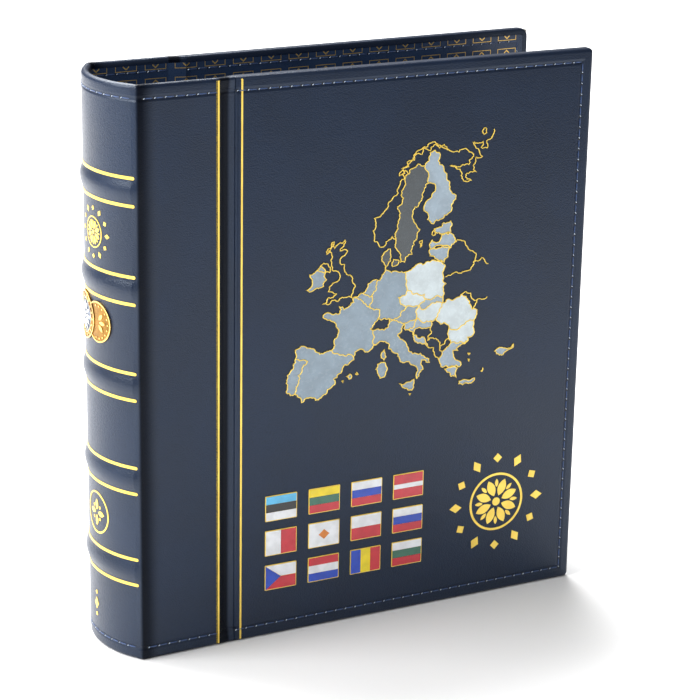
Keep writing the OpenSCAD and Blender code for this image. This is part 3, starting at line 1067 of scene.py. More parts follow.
@dataclass
class SpineMarks:
    """The smaller gold ornaments low on the spine."""

    finishes: Finishes
    wreath_z: float = 68.6
    wreath_r: float = 10.6
    round_arc: float = 2.0

    def build(self) -> None:
        """Stamp a wreath and, below it, a lozenge between two dots."""
        parts = [Rosette.ring(self.wreath_r, self.wreath_r - 0.9, 0.26, -0.08)]
        parts += [
            Bench.plate("leaf", petal(5.6, 2.8, 1.2, math.pi / 2 * i), 0.26, -0.08) for i in range(4)
        ]
        parts += [
            Bench.plate("seed", disc(0.8, (4.2 * math.cos(a), 4.2 * math.sin(a)), 12), 0.26, -0.08)
            for a in (math.pi / 4 + math.pi / 2 * i for i in range(4))
        ]
        wreath = Bench.join("wreath", parts)
        wreath.data.transform(Matrix.Translation((self.round_arc, self.wreath_z, 0)))
        lozenge = [(0, 17.3), (2.2, 20.5), (0, 23.7), (-2.2, 20.5)]
        marks = [Bench.plate("lozenge", lozenge, 0.26, -0.08)]
        marks += [Bench.plate("dot", disc(1.0, (0, z), 16), 0.26, -0.08) for z in (14.8, 26.2)]
        joined = Bench.join("spine_marks", [wreath, *marks])
        Bench.wrap(joined)
        Bench.finish(joined, self.finishes.foil, "spine", "gold_foil", ["spine_ornaments"])


@dataclass
class Coins:
    """Two plain coins in relief on the spine, with rims, beads and a rayed or petalled field; the fields take
    darker copies of the metals, painted shade between the raised parts.
    """

    finishes: Finishes
    height: float = 165.2

    def build(self) -> None:
        """Build the two-metal coin and the smaller coin half behind it."""
        gold, silver = self.finishes.coin_gold, self.finishes.coin_silver
        # the fields get the darker copies of the metals: painted shade under the raised relief
        dark_gold, dark_silver = self.finishes.coin_gold_painted_shade, self.finishes.coin_silver_painted_shade
        field_ring = [Rosette.ring(11.6, 8.4, 0.7, -0.1)]
        self.lay("coin_ring_field", field_ring, -8.0, dark_gold, "gold_metal", ["spine_coin_ring"])
        relief = [Rosette.ring(11.6, 10.9, 1.0, -0.1), Rosette.ring(8.75, 8.35, 0.95, -0.1)]
        relief += [
            Bench.plate("bead", disc(0.6, (9.8 * math.cos(a), 9.8 * math.sin(a)), 10), 0.9, 0)
            for a in (2 * math.pi * i / 20 for i in range(20))
        ]
        self.lay("coin_ring_relief", relief, -8.0, gold, "gold_metal")
        core = [Bench.plate("field", disc(8.35, count=48), 0.65, -0.1)]
        self.lay("coin_core_field", core, -8.0, dark_silver, "silver_metal", ["spine_coin_core"])
        rays = [
            Bench.plate("ray", petal(5.6, 1.5, 1.9, 2 * math.pi * i / 12), 0.9, 0) for i in range(12)
        ]
        rays.append(Bench.plate("heart", disc(1.5, count=16), 0.95, 0))
        self.lay("coin_core_relief", rays, -8.0, silver, "silver_metal")
        self.small_coin()

    def small_coin(self) -> None:
        """Build the visible crescent of the smaller coin."""
        big, small, apart = 11.7, 9.9, -14.6
        meet = (small**2 - big**2 + apart**2) / (2 * abs(apart))
        start = math.pi - math.acos(meet / small)
        edge = [
            (small * math.cos(start - 2 * start * i / 48), small * math.sin(start - 2 * start * i / 48))
            for i in range(49)
        ]
        y = small * math.sin(start)
        near = math.asin(y / big)
        hollow = [
            (apart + big * math.cos(-near + 2 * near * i / 16), big * math.sin(-near + 2 * near * i / 16))
            for i in range(1, 16)
        ]
        # the field takes the darker copy of the gold: painted shade
        field_plate = [Bench.plate("field", edge + hollow, 0.55, -0.1)]
        self.lay(
            "coin_small_field", field_plate, 6.6, self.finishes.coin_gold_painted_shade, "gold_metal",
            ["spine_coin_small"],
        )
        rim = [(x * 0.93, y * 0.93) for x, y in reversed(edge)]
        parts = [Bench.plate("rim", list(edge) + rim, 0.85, -0.1)]
        parts += [
            Bench.plate("leaf", petal(4.4, 2.0, 1.6, math.pi / 4 * i), 0.75, 0) for i in (-1, 0, 1)
        ]
        parts += [
            Bench.plate("bead", disc(0.45, (7.9 * math.cos(a), 7.9 * math.sin(a)), 10), 0.7, 0)
            for a in (math.radians(20 * i) for i in range(-5, 6))
        ]
        self.lay("coin_small_relief", parts, 6.6, self.finishes.coin_gold, "gold_metal")

    def lay(
        self,
        name: str,
        parts: list[bpy.types.Object],
        across: float,
        material: bpy.types.Material,
        slot: str,
        nodes: Sequence[str] = (),
    ) -> None:
        """Join plates of one metal and lay them on the spine.

        Args:
            name: The piece's name.
            parts: Its plates, drawn about the middle of the coin.
            across: Place of the coin's middle round the spine.
            material: Its metal.
            slot: The record's material slot.
            nodes: CAD nodes that it stands for.
        """
        coin = Bench.join(name, parts)
        coin.data.transform(Matrix.Translation((across, self.height, 0)))
        Bench.wrap(coin, 1.5)
        Bench.finish(coin, material, "spine", slot, nodes, 30)


@dataclass
class Sewing:
    """Rows of stitches with their needle holes, drawn flat and then laid on the case."""

    finishes: Finishes
    pitch: float = 5.5

    def stitches(self, name: str, rows: Sequence[tuple[Point, Point]]) -> bpy.types.Object:
        """Sew straight rows.

        Args:
            name: The piece's name.
            rows: The two ends of each row.

        Returns:
            All the rows' stitches as one piece, in the drawing plane.
        """
        Bench.clear()
        bpy.ops.mesh.primitive_uv_sphere_add(segments=8, ring_count=6, radius=1)
        master = bpy.context.object
        master.data.transform(Matrix.Diagonal((0.27, 0.3, 2.1, 1)))
        master.data.transform(Matrix.Rotation(math.pi / 2, 4, "Y"))
        return Bench.copies(name, master, [m for row in rows for m in self.along(row, 0.5, 0.0)])

    def holes(self, name: str, rows: Sequence[tuple[Point, Point]]) -> bpy.types.Object:
        """Lay near-black discs for the needle holes between the stitches of straight rows, painted shade for
        the holes' depth.
        """
        master = Bench.plate("hole", [(x * 1.4, y) for x, y in disc(0.55, count=8)], 0.05, 0)
        return Bench.copies(name, master, [m for row in rows for m in self.along(row, 0.0, 0.0)])

    def glints(self, name: str, rows: Sequence[tuple[Point, Point]]) -> bpy.types.Object:
        """Lay pale specks in the needle holes, painted highlights where the thread dips into them.

        Args:
            name: The piece's name.
            rows: Both ends of each row of stitches.

        Returns:
            The specks as one piece.
        """
        Bench.clear()
        bpy.ops.mesh.primitive_uv_sphere_add(segments=8, ring_count=5, radius=1)
        master = bpy.context.object
        master.data.transform(Matrix.Rotation(0.7, 4, "Z") @ Matrix.Diagonal((0.5, 0.24, 0.26, 1)))
        return Bench.copies(name, master, [m for row in rows for m in self.along(row, 0.06, 0.1)])

    def along(self, row: tuple[Point, Point], phase: float, out: float) -> list[Matrix]:
        """Return the places of a row's stitches.

        Args:
            row: Both ends of the row.
            phase: Where in its step the first one falls.
            out: How far they stand out of the leather.

        Returns:
            One place for each.
        """
        start, end = Vector(row[0]), Vector(row[1])
        count = max(1, round((end - start).length / self.pitch))
        turn = Matrix.Rotation(math.atan2(end.y - start.y, end.x - start.x), 4, "Z")
        places = []
        for i in range(count):
            spot = start.lerp(end, (i + phase) / count)
            places.append(Matrix.Translation((spot.x, spot.y, out)) @ turn)
        return places

    def spine(self) -> None:
        """Sew the head and foot of the spine."""
        reach = CASE.edge_angle * CASE.arc_r
        rows = [((-reach, z), (reach, z)) for z in (CASE.stitch, CASE.height - CASE.stitch)]
        thread = self.stitches("spine_stitches", rows)
        Bench.wrap(thread, 40)
        Bench.finish(thread, self.finishes.thread, "spine", "thread", ["spine_thread"], 60)
        # near-black needle-hole discs: painted shade
        holes = self.holes("spine_needle_holes", rows)
        Bench.wrap(holes, 40)
        Bench.finish(holes, self.finishes.hole, "spine", "thread")
        # painted highlights at the needle holes
        glints = self.glints("spine_loops", rows)
        Bench.wrap(glints, 40)
        Bench.finish(glints, self.finishes.loop, "spine", "thread")

    def panel(
        self, name: str, rows: Sequence[tuple[Point, Point]], matrix: Matrix, side: Side, depth: float,
        body: str, nodes: Sequence[str],
    ) -> None:
        """Sew rows through a panel, so that they show on its face and on its lining.

        Args:
            name: Start of the pieces' names.
            rows: The two ends of each row.
            matrix: Where the panel's face lies.
            side: The half of the case.
            depth: Thickness of the panel.
            body: The body that the panel moves with.
            nodes: CAD nodes that the stitches stand for.
        """
        back = side is Side.BACK
        inside = matrix @ Matrix.Translation((0, 0, -depth)) @ Matrix.Scale(-1, 4, (0, 0, 1))
        for stage, level, stands in (("face", matrix, list(nodes)), ("lining", inside, [])):
            thread = self.stitches(f"{name}_{stage}_stitches", rows)
            Bench.place(thread, level, back)
            Bench.finish(thread, self.finishes.thread, body, "thread", stands, 60)
            # near-black needle-hole discs: painted shade
            holes = self.holes(f"{name}_{stage}_holes", rows)
            Bench.place(holes, level, back)
            Bench.finish(holes, self.finishes.hole, body, "thread")
            # painted highlights at the needle holes
            glints = self.glints(f"{name}_{stage}_loops", rows)
            Bench.place(glints, level, back)
            Bench.finish(glints, self.finishes.loop, body, "thread")


@dataclass
class HalfCase:
    """One side of the case: corner fold, strip, valley and padded cover."""

    finishes: Finishes
    side: Side

    @property
    def tag(self) -> str:
        """Start of this side's piece names."""
        return self.side.value

    @property
    def back(self) -> bool:
        """Whether this is the back half."""
        return self.side is Side.BACK

    def build(self) -> None:
        """Build every piece of this half."""
        self.corner()
        self.strip()
        self.hinge_valley()
        self.cover()
        self.gold_lines()
        self.thread()

    def bend(self, first: str, second: str, start: Point, end: Point) -> tuple[str, str, Point, Point]:
        """Return where a piece bends between two bodies of this half.

        Args:
            first: The spine, or a body of this half without its side.
            second: The body that the piece ends on, without its side.
            start: Where the bend starts, in plan.
            end: Where the bend ends, in plan.

        Returns:
            The two bodies, named for this half, and the two places, flipped for the back half.
        """
        flip = -1 if self.back else 1
        left = first if first == "spine" else f"{self.tag}_{first}"
        return (left, f"{self.tag}_{second}", (start[0], flip * start[1]), (end[0], flip * end[1]))

    def corner_line(self, inset: float) -> list[Point]:
        """Return the corner fold's line in plan, from the spine's board to the strip's.

        Args:
            inset: How far the line lies under the outer face.

        Returns:
            The line's points.
        """
        radius, half = CASE.arc_r - inset, CASE.half - inset
        last = math.asin(half / radius)
        turns = [CASE.edge_angle + (last - CASE.edge_angle) * k / 4 for k in range(5)]
        line = [(CASE.arc_x - radius * math.cos(a), -radius * math.sin(a)) for a in turns]
        if inset > 0:
            return [*line, (CASE.corner, -half)]
        start, tip, end = line[3], line[-1], (0.7, -half)
        eased = []
        for k in range(9):
            t = k / 8
            eased.append(tuple(
                (1 - t) ** 2 * a + 2 * t * (1 - t) * b + t * t * c for a, b, c in zip(start, tip, end)
            ))
        return [*line[:3], *eased, (CASE.corner, -half)]

    def fold_piece(
        self,
        name: str,
        outer: Outline,
        inner: Outline,
        low: float,
        roll: float,
        shape: Callable[[Vector], Vector] | None = None,
        cuts: Sequence[float] = (),
    ) -> bpy.types.Object:
        """Build a fold, rolled at its head and foot.

        Args:
            name: The piece's name.
            outer: Its outer line in plan.
            inner: Its inner line in plan.
            low: Height of its foot.
            roll: Radius of its rolled edges.
            shape: Where each point of the outer face moves to, if the face isn't straight.
            cuts: Heights at which the face is cut so that it can be shaped.

        Returns:
            The fold, in the model's frame.
        """
        height = CASE.height - 2 * low
        piece = Bench.plate(name, [*outer, *reversed(inner)], height, low)
        if shape is not None:
            bpy.ops.object.mode_set(mode="EDIT")
            for cut in cuts:
                bpy.ops.mesh.select_all(action="SELECT")
                bpy.ops.mesh.bisect(plane_co=(0, 0, cut), plane_no=(0, 0, 1))
            bpy.ops.object.mode_set(mode="OBJECT")
            for vertex in piece.data.vertices:
                if min(math.dist(vertex.co.xy, spot) for spot in outer) < 0.001:
                    vertex.co = shape(vertex.co)
        ends = ((outer[0], inner[0]), (outer[-1], inner[-1]))

        def rim(a: Vector, b: Vector) -> bool:
            """Tell whether an edge runs round the head or the foot of the outer face.

            Args:
                a: One end of the edge.
                b: The other end.

            Returns:
                True for an edge that gets rounded.
            """
            level = abs(a.z - b.z) < 1e-4 and (a.z < low + 0.01 or a.z > low + height - 0.01)
            gaps = [
                min(
                    math.dist(a.xy, first) + math.dist(b.xy, last),
                    math.dist(b.xy, first) + math.dist(a.xy, last),
                )
                for first, last in ends
            ]
            return level and min(gaps) > 1.2

        if roll > 0:
            Bench.bevel_where(piece, rim, roll, 4)
        Bench.place(piece, Matrix.Identity(4), self.back)
        return piece

    def corner(self) -> None:
        """Build the folds of leather and lining at the spine corner."""
        tag = self.tag
        bend = self.bend("spine", "strip", (-1.9, -27.4), (3.0, -30.0))
        bands = [middle + k for middle in BAND_HEIGHTS for k in range(-6, 7)]
        leather = self.fold_piece(
            f"{tag}_corner_fold", self.corner_line(0), self.corner_line(CASE.board_in), 0, 1.5,
            self.banded, bands,
        )
        Bench.finish(leather, self.finishes.leather, bend, "leatherette", [f"{tag}_corner_leather"], 50)
        lining = self.fold_piece(
            f"{tag}_corner_lining_fold",
            self.corner_line(CASE.board_in), self.corner_line(CASE.strip_t), 3, 0,
        )
        Bench.finish(lining, self.finishes.lining, bend, "lining", [f"{tag}_corner_lining"], 50)

    @staticmethod
    def banded(point: Vector) -> Vector:
        """Carry the raised bands of the spine on to the corner fold, where they sink away.

        Args:
            point: A place on the fold.

        Returns:
            The place, pushed out where a band runs into it.
        """
        share = min(max((CASE.corner - point.x) / (CASE.corner + 1.9), 0.0), 1.0) ** 2
        arm = Vector((point.x - CASE.arc_x, point.y, 0)).normalized()
        return point + arm * (band_swell(point.z) * share)

    @staticmethod
    def shallow(point: Vector) -> Vector:
        """Let a valley run out towards the head and the foot.

        Args:
            point: A place in the valley.

        Returns:
            The place, raised near the head and the foot.
        """
        edge = min(point.z, CASE.height - point.z)
        part = min(edge / 9, 1.0)
        share = 0.2 + 0.8 * part * part * (3 - 2 * part)
        return Vector((point.x, -CASE.half + (point.y + CASE.half) * share, point.z))

    def strip(self) -> None:
        """Build the leather wrap of the stiff strip."""
        t, top = CASE.strip_t, CASE.height
        head = rounded([(0, top - 3, 0), (0, top, 1.85), (t, top, 1.85), (t, top - 3, 0)])
        under = [(CASE.board_in, top - 3), (CASE.board_in, top - 1), (CASE.leather, top - 1)]
        upper = [*head, *under]
        profile = [*upper, *[(d, top - z) for d, z in reversed(upper)]]
        skin = Bench.plate(f"{self.tag}_strip_skin", profile, CASE.strip - CASE.corner)
        stand = Matrix(((0, 0, 1, CASE.corner), (1, 0, 0, -CASE.half), (0, 1, 0, 0), (0, 0, 0, 1)))
        Bench.place(skin, stand, self.back)
        Bench.finish(
            skin, self.finishes.leather, f"{self.tag}_strip", "leatherette",
            [f"{self.tag}_strip_leather"], 50,
        )

    def hinge_valley(self) -> None:
        """Build the soft valley between the strip and the cover, and its lining."""
        tag, near, end = self.tag, CASE.strip, CASE.cover_start - 0.15
        bend = self.bend("strip", "cover", (near + 0.5, -28.0), (end - 0.5, -28.0))
        face = -CASE.half
        outer = [
            (near, face), (near + 0.8, face + 0.04), (near + 1.3, face + 0.35), (near + 2.1, face + 0.95),
            (near + 3.1, face + 1.55), (near + 4.2, face + 2.0), (near + 5.0, face + 2.2),
            (near + 5.7, face + 2.1), (near + 6.5, face + 1.8), (near + 7.4, face + 1.4),
            (end, face + 0.95),
        ]
        heights = (1.5, 3, 5, 7, 9)
        cuts = [*heights, *(CASE.height - z for z in heights)]
        inner = [(near, face + CASE.board_in), (end, face + 5.6)]
        leather = self.fold_piece(f"{tag}_valley_fold", outer, inner, 0, 1.4, self.shallow, cuts)
        Bench.finish(leather, self.finishes.leather, bend, "leatherette", [f"{tag}_hinge_leather"], 50)
        lining = self.fold_piece(
            f"{tag}_valley_lining", inner, [(near, face + CASE.strip_t), (end, face + CASE.cover_t)], 3, 0
        )
        Bench.finish(lining, self.finishes.lining, bend, "lining", [f"{tag}_hinge_lining"], 50)

    def cover(self) -> None:
        """Build the cover's foam pad and the leatherette drawn over it."""
        tag = self.tag
        near, far = CASE.cover_start - 0.1, CASE.width
        face = -CASE.half
        pad = Bench.plate(
            f"{tag}_pad",
            [(near + 0.9, face + 2.9), (near + 0.9, face + 2.3), (near + 3.6, face + 0.9),
             (far - 2.2, face + 0.9), (far - 0.9, face + 2.0), (far - 0.9, face + 2.9)],
            CASE.height - 5, 2.5,
        )
        Bench.place(pad, CASE.flared(), self.back)
        Bench.finish(pad, self.finishes.foam, f"{tag}_cover", "foam", [f"{tag}_foam"])
        skin = self.cover_skin(near, far)
        Bench.place(skin, CASE.on_cover(), self.back)
        Bench.finish(skin, self.finishes.leather, f"{tag}_cover", "leatherette", [f"{tag}_leather"], 50)

    def cover_skin(self, near: float, far: float) -> bpy.types.Object:
        """Build the leatherette of a cover, turned in behind all four edges.

        Args:
            near: Its edge by the valley.
            far: Its fore edge.

        Returns:
            The skin, drawn flat with its outer face at nought.
        """
        corner = 4.2 if self.back else 2.3
        outline = rounded([
            (near, 0, 0), (far, 0, corner), (far, CASE.height, corner), (near, CASE.height, 0),
        ])
        low = -CASE.cover_t
        skin = Bench.plate(f"{self.tag}_cover_skin", outline, CASE.cover_t, low)
        Bench.bevel_where(skin, lambda a, b: min(a.z, b.z) > -0.01, 2.0, 6)
        Bench.bevel_where(
            skin, lambda a, b: max(a.z, b.z) < low + 0.01 and max(a.x, b.x) > near + 0.01, 1.0, 3
        )
        for vertex in skin.data.vertices:
            left = near + 2.6 - vertex.co.x
            if left > 0 and vertex.co.z > -2.1:
                edge = min(vertex.co.y, CASE.height - vertex.co.y)
                dip = 0.95 * (left / 2.6) ** 1.4 * min(0.2 + edge / 9, 1.0)
                if edge > 2:
                    vertex.co.z = -dip
                elif vertex.co.x < near + 0.01:
                    vertex.co.z = min(vertex.co.z, -dip)
        Bench.hold(skin)
        bpy.ops.object.mode_set(mode="EDIT")
        bpy.ops.mesh.select_mode(type="FACE")
        bpy.ops.mesh.select_all(action="DESELECT")
        bpy.ops.object.mode_set(mode="OBJECT")
        for polygon in skin.data.polygons:
            polygon.select = polygon.normal.z < -0.99 and polygon.area > 1000
        bpy.ops.object.mode_set(mode="EDIT")
        bpy.ops.mesh.inset(thickness=2.2)
        bpy.ops.mesh.delete(type="FACE")
        bpy.ops.object.mode_set(mode="OBJECT")
        wall = skin.modifiers.new("wall", "SOLIDIFY")
        wall.thickness = CASE.leather
        wall.offset = -1
        bpy.ops.object.modifier_apply(modifier=wall.name)
        return skin

    def gold_lines(self) -> None:
        """Stamp the wide line on the strip and the narrow line on the cover."""
        low, high = 1.0, CASE.height - 1.0
        # left half in darker olive foil with black flecks: painted shade in the groove, and wear
        worn = Bench.plate(f"{self.tag}_wide_line_worn", box_outline(38.8, low, 39.6, high), 0.2, -0.1)
        Bench.place(worn, CASE.on_strip(), self.back)
        Bench.finish(worn, self.finishes.worn_foil, f"{self.tag}_strip", "gold_foil")
        wide = Bench.plate(f"{self.tag}_wide_line", box_outline(39.6, low, 40.4, high), 0.26, -0.1)
        Bench.place(wide, CASE.on_strip(), self.back)
        Bench.finish(
            wide, self.finishes.foil, f"{self.tag}_strip", "gold_foil",
            [f"{self.tag}_strip_gold_line"],
        )
        narrow = Bench.plate(f"{self.tag}_narrow_line", box_outline(51.3, low, 52.2, high, 0.3), 0.26, -0.1)
        Bench.place(narrow, CASE.on_cover(), self.back)
        Bench.finish(
            narrow, self.finishes.foil, f"{self.tag}_cover", "gold_foil", [f"{self.tag}_gold_line"]
        )

    def thread(self) -> None:
        """Sew the head, the foot and the fore edge."""
        sewing = Sewing(self.finishes)
        low, high = CASE.stitch, CASE.height - CASE.stitch
        strip_rows = [((CASE.corner, z), (CASE.strip, z)) for z in (low, high)]
        sewing.panel(
            f"{self.tag}_strip", strip_rows, CASE.on_strip(), self.side, CASE.strip_t,
            f"{self.tag}_strip", [f"{self.tag}_strip_thread"],
        )
        fore = CASE.width - CASE.stitch
        start = CASE.cover_start + 0.6
        cover_rows = [((start, z), (fore, z)) for z in (low, high)] + [((fore, low), (fore, high))]
        sewing.panel(
            f"{self.tag}_cover", cover_rows, CASE.on_cover(), self.side, CASE.cover_t,
            f"{self.tag}_cover", [f"{self.tag}_thread"],
        )


class Colour(Enum):
    """Enamel colours of the small plates."""

    SKY = (92, 190, 236)
    BLACK = (34, 34, 36)
    WHITE = (240, 242, 246)
    YELLOW = (250, 224, 20)
    GREEN = (56, 112, 92)
    RED = (206, 44, 58)
    BLUE = (24, 70, 190)
    ORANGE = (224, 132, 48)


class Layout(Enum):
    """How the bands of a plate run."""

    ROWS = "rows"
    COLUMNS = "columns"
    WEDGE = "wedge"
    LOZENGE = "lozenge"


@dataclass(frozen=True)
class Banner:
    """One small banded plate: its colours from the top or from the left."""

    layout: Layout
    bands: tuple[Colour, ...]


C = Colour
ROWS, COLUMNS, WEDGE = Layout.ROWS, Layout.COLUMNS, Layout.WEDGE
BANNERS: tuple[tuple[Banner, ...], ...] = (
    (
        Banner(ROWS, (C.SKY, C.BLACK, C.WHITE)), Banner(ROWS, (C.YELLOW, C.GREEN, C.RED)),
        Banner(ROWS, (C.WHITE, C.BLUE, C.RED)),
        Banner(ROWS, (C.RED, C.RED, C.WHITE, C.RED, C.RED)),
    ),
    (
        Banner(COLUMNS, (C.WHITE, C.RED)), Banner(Layout.LOZENGE, (C.WHITE, C.ORANGE)),
        Banner(ROWS, (C.WHITE, C.RED)), Banner(ROWS, (C.WHITE, C.BLUE, C.RED)),
    ),
    (
        Banner(WEDGE, (C.BLUE, C.WHITE, C.RED)), Banner(ROWS, (C.RED, C.WHITE, C.BLUE)),
        Banner(COLUMNS, (C.BLUE, C.YELLOW, C.RED)), Banner(ROWS, (C.WHITE, C.GREEN, C.RED)),
    ),
)


@dataclass
class BannerPlates:
    """Twelve enamelled plates in gold frames."""

    finishes: Finishes
    left: float = 64.7
    foot: float = 24.2
    wide: float = 17.0
    tall: float = 13.1
    pitch: Point = (23.4, 18.1)
    rim: float = 0.4

    def build(self) -> None:
        """Build the frames and the enamel of every colour."""
        frames: list[bpy.types.Object] = []
        fields: dict[Colour, list[bpy.types.Object]] = {colour: [] for colour in Colour}
        for row, banners in enumerate(BANNERS):
            for column, banner in enumerate(banners):
                x = self.left + column * self.pitch[0]
                y = self.foot + (2 - row) * self.pitch[1]
                frames.append(
                    Bench.plate("frame", box_outline(x, y, x + self.wide, y + self.tall, 0.35), 0.45, -0.1)
                )
                for colour, outline in self.fields(banner, x + self.rim, y + self.rim):
                    fields[colour].append(Bench.plate("field", outline, 0.25, 0.3))
        frame = Bench.join("banner_frames", frames)
        Bench.place(frame, CASE.on_cover())
        Bench.finish(frame, self.finishes.foil, "front_cover", "gold_foil", ["flag_plates"])
        for colour, parts in fields.items():
            name = f"banner_enamel_{colour.name.lower()}"
            joined = Bench.join(name, parts)
            Bench.place(joined, CASE.on_cover())
            Bench.finish(joined, Enamel(name, colour.value).mix(), "front_cover", "flag_enamel")

    def fields(self, banner: Banner, x: float, y: float) -> list[tuple[Colour, list[Point]]]:
        """Return the enamel fields of a plate.

        Args:
            banner: The plate's colours.
            x: Left edge of the enamel.
            y: Foot of the enamel.

        Returns:
            Each field's colour and outline.
        """
        w, h, gap = self.wide - 2 * self.rim, self.tall - 2 * self.rim, 0.12
        if banner.layout is WEDGE:
            hoist, upper, lower = banner.bands
            tip = (x + w * 0.5, y + h / 2)
            return [
                (hoist, [(x, y), tip, (x, y + h)]),
                (upper, [
                    (x + 0.2, y + h), (tip[0] + 0.1, tip[1] + gap), (x + w, tip[1] + gap), (x + w, y + h),
                ]),
                (lower, [(x + 0.2, y), (x + w, y), (x + w, tip[1] - gap), (tip[0] + 0.1, tip[1] - gap)]),
            ]
        if banner.layout is Layout.LOZENGE:
            cx, cy = x + w / 2, y + h / 2
            rhomb = [(cx + 3, cy), (cx, cy + 2.6), (cx - 3, cy), (cx, cy - 2.6)]
            top = [(x, y + h), (x, cy), rhomb[2], rhomb[1], rhomb[0], (x + w, cy), (x + w, y + h)]
            foot = [(x, y), (x + w, y), (x + w, cy), rhomb[0], rhomb[3], rhomb[2], (x, cy)]
            ground, charge = banner.bands
            return [(ground, top), (ground, foot), (charge, rhomb)]
        count = len(banner.bands)
        found = []
        for i, colour in enumerate(banner.bands):
            if banner.layout is ROWS:
                top = y + h - i * h / count
                low = top - h / count + (gap if i < count - 1 and banner.bands[i + 1] is not colour else 0)
                found.append((colour, box_outline(x, low, x + w, top)))
            else:
                start = x + i * w / count
                end = start + w / count - (gap if i < count - 1 else 0)
                found.append((colour, box_outline(start, y, end, y + h)))
        return found


class Tone(Enum):
    """Enamel tones of the map's lands."""

    MIST = (138, 157, 172)
    PALE = (158, 176, 190)
    WHITE = (210, 222, 226)
    SLATE = (62, 70, 75)


Line = tuple[Point, ...]

